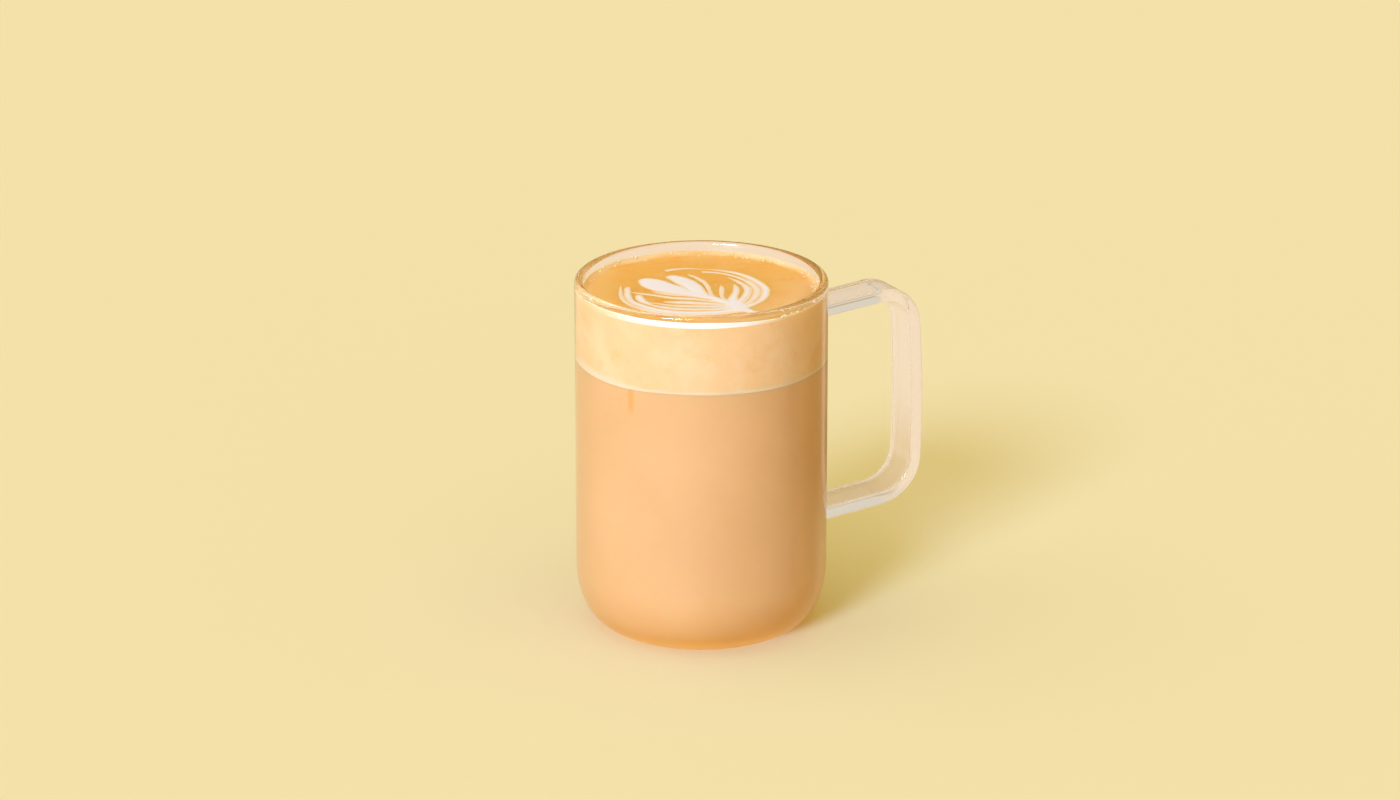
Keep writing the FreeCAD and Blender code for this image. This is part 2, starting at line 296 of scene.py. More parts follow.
@dataclass(frozen=True)
class CoffeeFoam:
    """Thick milk foam tinted by coffee, paler at the side than on top."""

    side: Colour = (0.90, 0.605, 0.285, 1.0)
    side_pale: Colour = (0.92, 0.655, 0.345, 1.0)
    side_gold: Colour = (0.88, 0.54, 0.205, 1.0)
    fringe: Colour = (0.91, 0.71, 0.46, 1.0)
    # Painted shade: dark gold crema beside the glass at the front right, away from the key.
    painted_rim_shade: Colour = (0.60, 0.32, 0.05, 1.0)
    warm_froth: Colour = (0.92, 0.68, 0.36, 1.0)
    # Pale froth film; where it is whitest, at the front, it also stands for a painted highlight.
    froth_and_highlight: Colour = srgb(252, 246, 232)
    crema: Crema = Crema()
    blotches: Patches = Patches(70.0, 3.0, 0.5, 0.4, 0.62)
    golden: Patches = Patches(85.0, 4.0, 0.62, 0.5, 0.68)
    gold_share: float = 0.75
    fringe_span: Span = (1.0, 0.3)     # parts of the fringe's height
    warm_span: Span = (0.0, 0.5)       # froth and highlight value where the warm colour sets in
    white_span: Span = (0.35, 1.0)
    roughness: float = 0.42
    grain: float = 0.00004             # depth, m
    scatter: tuple[float, float, float] = (1.0, 0.5, 0.2)
    scatter_share: float = 0.5

    def build(self) -> bpy.types.Material:
        """Make the foam's material, guided by the attributes on its mesh."""
        nodes = Nodes("coffee_foam")
        side = nodes.mix(nodes.patches(self.blotches), self.side, self.side_pale)
        gold = nodes.math("MULTIPLY", nodes.patches(self.golden), self.gold_share)
        side = nodes.mix(gold, side, self.side_gold)
        side = nodes.mix(nodes.step(nodes.value("lift"), *self.fringe_span), side, self.fringe)
        colour = nodes.mix(nodes.value("top"), side, self.crema.colour(nodes))
        # Painted shade on the crema beside the glass, at the front right.
        colour = nodes.mix(nodes.value("painted_rim_shade"), colour, self.painted_rim_shade)
        froth_and_highlight = nodes.value("froth_and_highlight")
        colour = nodes.mix(nodes.step(froth_and_highlight, *self.warm_span), colour, self.warm_froth)
        # Painted highlight together with the pale froth film: whitest at the front and front left.
        colour = nodes.mix(nodes.step(froth_and_highlight, *self.white_span), colour, self.froth_and_highlight)
        shader = nodes.add("BsdfPrincipled", Base_Color=colour, Roughness=self.roughness,
                           Normal=nodes.grain(self.grain), Subsurface_Scale=SCATTER_SCALE,
                           Subsurface_Weight=self.scatter_share,
                           Subsurface_Radius=self.scatter)
        return nodes.finish(shader.outputs[0])


@dataclass(frozen=True)
class BubbleSkin:
    """The thin wet skin of a small bubble, paler than the crema under it."""

    skin: Colour = (0.93, 0.74, 0.44, 1.0)
    roughness: float = 0.22

    def build(self) -> bpy.types.Material:
        """Make the bubbles' material."""
        nodes = Nodes("bubble_skin")
        shader = nodes.add("BsdfPrincipled", Base_Color=self.skin, Roughness=self.roughness)
        return nodes.finish(shader.outputs[0])


@dataclass(frozen=True)
class MilkyCoffee:
    """Opaque milky coffee behind the glass."""

    main: Colour = (0.765, 0.462, 0.188, 1.0)
    pale: Colour = (0.795, 0.492, 0.208, 1.0)
    drip: Colour = (0.78, 0.40, 0.095, 1.0)
    drip_turn: float = math.radians(-35.0)     # from the drinker's side, towards the left
    drip_end: float = 0.0807                   # height of its lower end, m
    drip_tip: float = 0.004                    # length of its fading tip, m
    drip_sides: Span = (0.0015, 0.0005)        # half width, fading outwards, m
    drip_depth: Span = (0.0, 0.01)             # keeps it to this side of the mug, m
    clouds: Patches = Patches(28.0, 2.0, 0.5, 0.35, 0.7)
    roughness: float = 0.5
    scatter: tuple[float, float, float] = (1.0, 0.4, 0.15)
    scatter_share: float = 0.4

    def build(self) -> bpy.types.Material:
        """Make the coffee's material, with one darker streak below the foam."""
        nodes = Nodes("milky_coffee")
        colour = nodes.mix(nodes.patches(self.clouds), self.main, self.pale)
        turn = FRONT_TURN + self.drip_turn
        across = nodes.math("ABSOLUTE", nodes.along(Vector((math.cos(turn), math.sin(turn), 0.0))))
        facing = nodes.along(Vector((math.sin(turn), -math.cos(turn), 0.0)))
        facing = nodes.step(facing, *self.drip_depth)
        low = nodes.step(nodes.along(UP), self.drip_end, self.drip_end + self.drip_tip)
        streak = nodes.math("MULTIPLY", nodes.step(across, *self.drip_sides), facing)
        colour = nodes.mix(nodes.math("MULTIPLY", streak, low), colour, self.drip)
        shader = nodes.add("BsdfPrincipled", Base_Color=colour, Roughness=self.roughness,
                           Subsurface_Weight=self.scatter_share,
                           Subsurface_Radius=self.scatter, Subsurface_Scale=SCATTER_SCALE)
        return nodes.finish(shader.outputs[0])


@dataclass(frozen=True)
class PouredMilk:
    """White steamed milk, stained towards its edges, where its "depth" attribute is small."""

    white: Colour = (0.91, 0.88, 0.95, 1.0)
    cream: Colour = (0.93, 0.75, 0.56, 1.0)
    crema: Crema = Crema()
    cream_span: Span = (0.0, 0.5)      # depth in the milk, mm
    white_span: Span = (0.65, 1.35)
    roughness: float = 0.4
    grain: float = 0.00003             # depth, m

    def build(self) -> bpy.types.Material:
        """Make the milk's material."""
        nodes = Nodes("white_milk")
        inside = nodes.value("depth")
        edge = nodes.step(inside, *self.cream_span)
        edge = nodes.mix(edge, self.crema.colour(nodes), self.cream)
        colour = nodes.mix(nodes.step(inside, *self.white_span), edge, self.white)
        shader = nodes.add("BsdfPrincipled", Base_Color=colour, Roughness=self.roughness,
                           Normal=nodes.grain(self.grain))
        return nodes.finish(shader.outputs[0])


# ---------------------------------------------------------------- meshes


def make_mesh(name: str, points: Array, faces: Sequence[Sequence[int]],
              attributes: dict[str, Array] | None = None, tidy: bool = False) -> bpy.types.Object:
    """Make a mesh object with smooth faces and sharp edges where it turns sharply.

    Args:
        name: the piece's name.
        points: corner positions in millimetres, one row each.
        faces: corner numbers of each face, anticlockwise from outside.
        attributes: values for each corner, by name.
        tidy: drop unused corners and point every face of a closed mesh outwards.

    Returns:
        The linked object, at the origin.
    """
    mesh = bpy.data.meshes.new(name)
    mesh.from_pydata((np.asarray(points) * MM).tolist(), [], [list(face) for face in faces])
    for key, values in (attributes or {}).items():
        mesh.attributes.new(key, "FLOAT", "POINT").data.foreach_set(
            "value", np.asarray(values, np.float32))
    if tidy:
        shape = bmesh.new()
        shape.from_mesh(mesh)
        bmesh.ops.delete(shape, geom=[v for v in shape.verts if not v.link_faces], context="VERTS")
        bmesh.ops.recalc_face_normals(shape, faces=shape.faces)
        shape.to_mesh(mesh)
        shape.free()
    mesh.polygons.foreach_set("use_smooth", [True] * len(mesh.polygons))
    mesh.update()
    mesh.set_sharp_from_angle(angle=SHARP_EDGE)
    piece = bpy.data.objects.new(name, mesh)
    bpy.context.scene.collection.objects.link(piece)
    return piece


def hand_over(piece: bpy.types.Object, material: bpy.types.Material | None = None,
              stands_for: str = "") -> None:
    """Dress a finished piece and say how it belongs to the frame.

    Args:
        piece: the finished piece, at the origin.
        material: its material, unless it already wears one.
        stands_for: the frame's node that it replaces, if any.
    """
    if material:
        piece.data.materials.append(material)
    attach(piece, BODY)
    if stands_for:
        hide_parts(stands_for)
    LOG.info("%s: %d faces", piece.name, len(piece.data.polygons))


def quarter_turn(steps: int, first: int = 0) -> list[tuple[float, float]]:
    """List the sines and cosines of even steps through a right angle, from step first on."""
    angles = [math.pi / 2 * step / steps for step in range(first, steps + 1)]
    return [(math.sin(angle), math.cos(angle)) for angle in angles]


def from_front(angles: Array) -> Array:
    """Measure directions from the drinker's side, up to half a turn either way."""
    return (angles - FRONT_TURN + math.pi / 2 + math.pi) % (2 * math.pi) - math.pi


class Turned:
    """A closed body made of rings about the upright axis, from foot centre to top centre."""

    def __init__(self, segments: int) -> None:
        """Start with no rings."""
        self.segments = segments
        self.angles = np.arange(segments) * 2.0 * math.pi / segments
        self.rings: list[tuple[Array, Array]] = []

    def ring(self, radius: Array | float, height: Array | float) -> None:
        """Add a ring, whose radius and height may change with the angle."""
        ones = np.ones(self.segments)
        self.rings.append((radius * ones, height * ones))

    def points(self, foot: float, top: float) -> Array:
        """Give the corner positions: the foot centre, the rings and the top centre."""
        rows = [np.array([[0.0, 0.0, foot]])]
        for radius, height in self.rings:
            rows.append(np.stack([radius * np.cos(self.angles), radius * np.sin(self.angles),
                                  height], 1))
        rows.append(np.array([[0.0, 0.0, top]]))
        return np.concatenate(rows)

    def faces(self) -> list[tuple[int, ...]]:
        """Give the faces: a fan at the foot, bands between rings and a fan at the top."""
        count = self.segments
        following = [(index + 1) % count for index in range(count)]
        last = 1 + (len(self.rings) - 1) * count
        apex = last + count
        faces: list[tuple[int, ...]] = [(0, 1 + following[i], 1 + i) for i in range(count)]
        for row in range(len(self.rings) - 1):
            low, high = 1 + row * count, 1 + (row + 1) * count
            faces += [(low + i, low + following[i], high + following[i], high + i)
                      for i in range(count)]
        faces += [(last + i, last + following[i], apex) for i in range(count)]
        return faces


# ---------------------------------------------------------------- the drink


@dataclass
class Drink:
    """The two layers of the latte, sized from the frame's own solids."""

    coffee_node: str = "milk_coffee"
    foam_node: str = "milk_foam"
    bite: float = 0.15            # how far the drink reaches into the glass, mm
    floor_radius: float = 26.6    # flat floor of the mug, mm
    corner_rise: float = 20.3     # height where the foot corner meets the straight wall, mm
    climb_reach: float = 3.0      # width of the band that climbs the glass, mm
    climb_rings: int = 14
    line_swell: float = 0.22      # unevenness of the line between the layers, mm
    top_swell: float = 0.05       # unevenness of the foam's top, mm
    shoulder: float = 0.15        # from the side's last ring up to the foam's level, mm
    lip_gap: float = 0.06         # between the climbing foam's lip and the glass, mm
    top_rings: int = 72
    corner_steps: int = 20
    segments: int = 256

    def __post_init__(self) -> None:
        """Read the sizes of both layers from the frame."""
        low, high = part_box(self.coffee_node)
        self.base = low.z / MM
        self.layer = high.z / MM
        self.radius = high.x / MM + self.bite
        self.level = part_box(self.foam_node)[1].z / MM

    def layer_line(self, angles: Array) -> Array:
        """Give the height of the slightly uneven line between coffee and foam."""
        return self.layer + self.line_swell * ripple(np.cos(angles), np.sin(angles), 1.1, 2.0)

    def surface(self, x: Array, y: Array) -> Array:
        """Give the height of the foam's gently uneven top, away from the wall."""
        return self.level + self.top_swell * ripple(x, y, 17.0, 4.0)

    def make_coffee(self) -> bpy.types.Object:
        """Make the coffee: floor, foot corner and straight side up to the layer line."""
        body = Turned(self.segments)
        floor_level = self.base - self.bite
        for share in (0.5, 1.0):
            body.ring(self.floor_radius * share, floor_level)
        across, down = self.radius - self.floor_radius, self.corner_rise - floor_level
        for sine, cosine in quarter_turn(self.corner_steps, 1):
            body.ring(self.floor_radius + across * sine, self.corner_rise - down * cosine)
        line = self.layer_line(body.angles)
        for share in (0.25, 0.5, 0.75, 1.0):
            body.ring(self.radius, self.corner_rise + (line - self.corner_rise) * share)
        body.ring(self.radius * 0.5, self.layer)
        return make_mesh("coffee_layer", body.points(floor_level, self.layer), body.faces())

    def climb(self, angles: Array) -> tuple[Array, Array]:
        """Say how the foam clings to the glass all round.

        Args:
            angles: directions about the upright axis, radians.

        Returns:
            How far the foam climbs, in mm, and how white its film is from 0 to 1: pale froth,
            with a painted highlight where it is whitest, at the front and front left.
        """
        turn = from_front(angles)
        knots = np.radians([-180, -140, -100, -60, -35, 0, 20, 45, 70, 100, 140, 180])
        rise = np.interp(turn, knots, [1.3, 1.5, 1.4, 1.7, 1.9, 1.9, 1.4, .7, .5, 1.0, 1.5, 1.3])
        # Painted highlight: the film is whitest at the front and front left, towards the key, and
        # least white on the shaded right.
        white = np.interp(turn, knots, [.2, .45, .3, .3, .75, 1, .95, .3, .05, .2, .45, .2])
        return rise + 0.12 * ripple(np.cos(angles), np.sin(angles), 0.5, 1.0), white

    def painted_rim_shade(self, angles: Array) -> Array:
        """Say where shade is painted on the crema beside the glass, at the front right away from
        the key, from 0 to 1.
        """
        return np.interp(from_front(angles), np.radians([5, 30, 75, 100]), [0.0, 1.0, 0.9, 0.0])

    def fringe(self, angles: Array) -> Array:
        """Give the height of the pale fringe that the foam has just above the coffee."""
        wedge = np.interp(from_front(angles), np.radians([-85, -70, -36, -30]),
                          [0.0, 1.0, 0.35, 0.0])
        return 1.3 + 2.6 * wedge + 0.4 * ripple(np.cos(angles), np.sin(angles), 0.4, 7.0)

    def make_foam(self) -> bpy.types.Object:
        """Make the foam: its side, the film that climbs the glass and its top.

        Returns:
            The foam, with attributes for its top, its white froth with a painted highlight
            at the front, the height above the layer line in parts of the pale fringe, the painted
            shade on the crema beside the glass, and where bubbles gather.
        """
        body = Turned(self.segments)
        line = self.layer_line(body.angles)
        cos, sin = np.cos(body.angles), np.sin(body.angles)
        # The film's whiteness carries pale froth and a painted highlight at the front.
        rise, white = self.climb(body.angles)
        tops, froth_and_highlights = [0.0], [0.0]
        painted_rim_shade = self.painted_rim_shade(body.angles)
        heights: list[float] = [0.0]

        def ring(radius: Array | float, height: Array | float, top: float,
                 froth_and_highlight: Array | float = 0.0) -> None:
            """Add a ring and record how it looks."""
            body.ring(radius, height)
            tops.extend([top] * self.segments)
            froth_and_highlights.extend((froth_and_highlight * np.ones(self.segments)).tolist())
            heights.extend(((height - line) / self.fringe(body.angles)).tolist())

        ring(self.radius * 0.5, self.layer, 0.0)
        for share in (0.0, 0.25, 0.5, 0.75, 1.0):
            ring(self.radius, line + (self.level - self.shoulder - line) * share, 0.0)
        for share in (0.0, 0.5, 0.9):
            ring(self.radius, self.level + rise * share, 0.0, white)
        lip = self.radius - self.bite - self.lip_gap
        ring(lip, self.level + rise, 1.0, white)
        for index in range(1, self.climb_rings + 1):
            share = index / self.climb_rings
            radius = lip - self.climb_reach * share
            ground = self.surface(radius * cos, radius * sin)
            blend = fade(0.0, 1.0, share)
            height = self.level + (ground - self.level) * blend + rise * (1.0 - share) ** 3.2
            edge = 0.55 * ripple(cos, sin, 0.35, 3.0)
            ring(radius, height, 1.0, white * (1.0 - fade(0.05, 0.9, share + 0.3 * edge)))
        for index in range(1, self.top_rings):
            radius = (lip - self.climb_reach) * (1.0 - index / self.top_rings)
            ring(radius, self.surface(radius * cos, radius * sin), 1.0)
        tops.append(1.0)
        froth_and_highlights.append(0.0)
        heights.append(9.0)
        top = float(self.surface(np.zeros(1), np.zeros(1))[0])
        points = body.points(self.layer, top)
        radius = np.hypot(points[:, 0], points[:, 1])
        edge = fade(self.radius - 3.2, self.radius - 0.9, radius) * (np.array(tops) > 0.5)
        # Painted shade on the crema beside the glass, at the front right, away from the key.
        stained = np.concatenate([[0.0], np.tile(painted_rim_shade, len(body.rings)), [0.0]])
        stained = stained * fade(self.radius - 7.0, self.radius - 1.0, radius)
        patchy = fade(-0.3, 0.7, ripple(points[:, 0], points[:, 1], 21.0, 6.0))
        return make_mesh("foam_layer", points, body.faces(),
                         {"top": np.array(tops), "froth_and_highlight": np.array(froth_and_highlights),
                          "lift": np.array(heights), "painted_rim_shade": stained * np.array(tops),
                          "bubbly": edge * (0.25 + 0.75 * patchy)})

    def build(self) -> None:
        """Make both layers, dress them, and strew bubbles over the foam."""
        coffee, foam = self.make_coffee(), self.make_foam()
        hand_over(coffee, MilkyCoffee().build(), self.coffee_node)
        hand_over(foam, CoffeeFoam().build(), self.foam_node)
        Bubbles().build(foam)


@dataclass
class Bubbles:
    """Small bubbles strewn where the foam meets the glass, by a node group."""

    density: float = 8.0e5        # bubbles for each square metre where they are thickest
    smallest: float = 0.13        # radius, mm
    largest: float = 0.50
    rarity: float = 2.5           # the higher, the fewer large ones
    roundness: int = 3            # subdivisions of each ball
    seed: int = 11

    def group(self) -> bpy.types.GeometryNodeTree:
        """Make the node group that strews bubbles over a mesh, thickest where it is "bubbly"."""
        tree = bpy.data.node_groups.new("strewn_bubbles", "GeometryNodeTree")
        tree.interface.new_socket(name="Geometry", in_out="OUTPUT",
                                  socket_type="NodeSocketGeometry")
        for name, kind in (("Geometry", "Geometry"), ("Density", "Float"), ("Smallest", "Float"),
                           ("Largest", "Float"), ("Seed", "Int"), ("Skin", "Material")):
            tree.interface.new_socket(name=name, in_out="INPUT", socket_type="NodeSocket" + kind)

        def add(kind: str, links: dict[str | int, object]) -> bpy.types.Node:
            """Add a node and fill its inputs with values or sockets."""
            node = tree.nodes.new(kind)
            for key, value in links.items():
                if isinstance(value, bpy.types.NodeSocket):
                    tree.links.new(value, node.inputs[key])
                else:
                    node.inputs[key].default_value = value
            return node

        given = add("NodeGroupInput", {}).outputs
        bubbly = add("GeometryNodeInputNamedAttribute", {"Name": "bubbly"}).outputs["Attribute"]
        density = add("ShaderNodeMath", {0: bubbly, 1: given["Density"]})
        density.operation = "MULTIPLY"
        points = add("GeometryNodeDistributePointsOnFaces",
                     {"Mesh": given["Geometry"], "Density": density.outputs[0],
                      "Seed": given["Seed"]}).outputs["Points"]
        chance = add("FunctionNodeRandomValue", {"Seed": given["Seed"]})
        share = add("ShaderNodeMath", {0: chance.outputs[1], 1: self.rarity})
        share.operation = "POWER"
        size = add("ShaderNodeMapRange", {"Value": share.outputs[0], "To Min": given["Smallest"],
                                          "To Max": given["Largest"]}).outputs[0]
        ball = add("GeometryNodeMeshIcoSphere",
                   {"Radius": 1.0, "Subdivisions": self.roundness}).outputs["Mesh"]
        strewn = add("GeometryNodeInstanceOnPoints",
                     {"Points": points, "Instance": ball, "Scale": size}).outputs[0]
        real = add("GeometryNodeRealizeInstances", {"Geometry": strewn}).outputs[0]
        dressed = add("GeometryNodeSetMaterial", {"Geometry": real, "Material": given["Skin"]})
        add("NodeGroupOutput", {"Geometry": dressed.outputs[0]})
        return tree

    def build(self, foam: bpy.types.Object) -> None:
        """Strew the bubbles over the foam and turn them into a plain mesh."""
        carrier = bpy.data.objects.new("bubble_carrier", foam.data)
        bpy.context.scene.collection.objects.link(carrier)
        modifier = carrier.modifiers.new("bubbles", "NODES")
        modifier.node_group = self.group()
        values = {"Density": self.density, "Smallest": self.smallest * MM,
                  "Largest": self.largest * MM, "Seed": self.seed, "Skin": BubbleSkin().build()}
        for item in modifier.node_group.interface.items_tree:
            if item.in_out == "INPUT" and item.name in values:
                modifier[item.identifier] = values[item.name]
        mesh = bpy.data.meshes.new_from_object(
            carrier.evaluated_get(bpy.context.evaluated_depsgraph_get()))
        bpy.data.objects.remove(carrier)
        mesh.name = "foam_bubbles"
        mesh.polygons.foreach_set("use_smooth", [True] * len(mesh.polygons))
        piece = bpy.data.objects.new("foam_bubbles", mesh)
        bpy.context.scene.collection.objects.link(piece)
        hand_over(piece)


# ---------------------------------------------------------------- the poured leaf


class Effect(Enum):
    """What one pull of the jug does to the milk."""

    POUR = "adds milk"
    VEIL = "leaves a thin veil of milk"
    PART = "drags crema through the milk"


@dataclass(frozen=True)
class Pull:
    """One pull of the jug: points (x, y, half width) in mm, x to the drinker's right, y away."""

    effect: Effect
    points: tuple[tuple[float, float, float], ...]

    def path(self, step: float) -> Array:
        """Follow the points with a smooth curve.

        Args:
            step: rough distance between the curve's points, mm.

        Returns:
            Rows of x, y and half width.
        """
        rows = np.array(self.points, float)
        rows = np.concatenate([[2 * rows[0] - rows[1]], rows, [2 * rows[-1] - rows[-2]]])
        out = []
        for before, start, end, after in zip(rows, rows[1:], rows[2:], rows[3:]):
            count = max(2, int(np.hypot(*(end - start)[:2]) / step))
            share = np.arange(count)[:, None] / count
            out.append(0.5 * (2 * start + (end - before) * share
                              + (2 * before - 5 * start + 4 * end - after) * share ** 2
                              + (3 * start - before - 3 * end + after) * share ** 3))
        out.append(rows[-2][None, :])
        return np.concatenate(out)


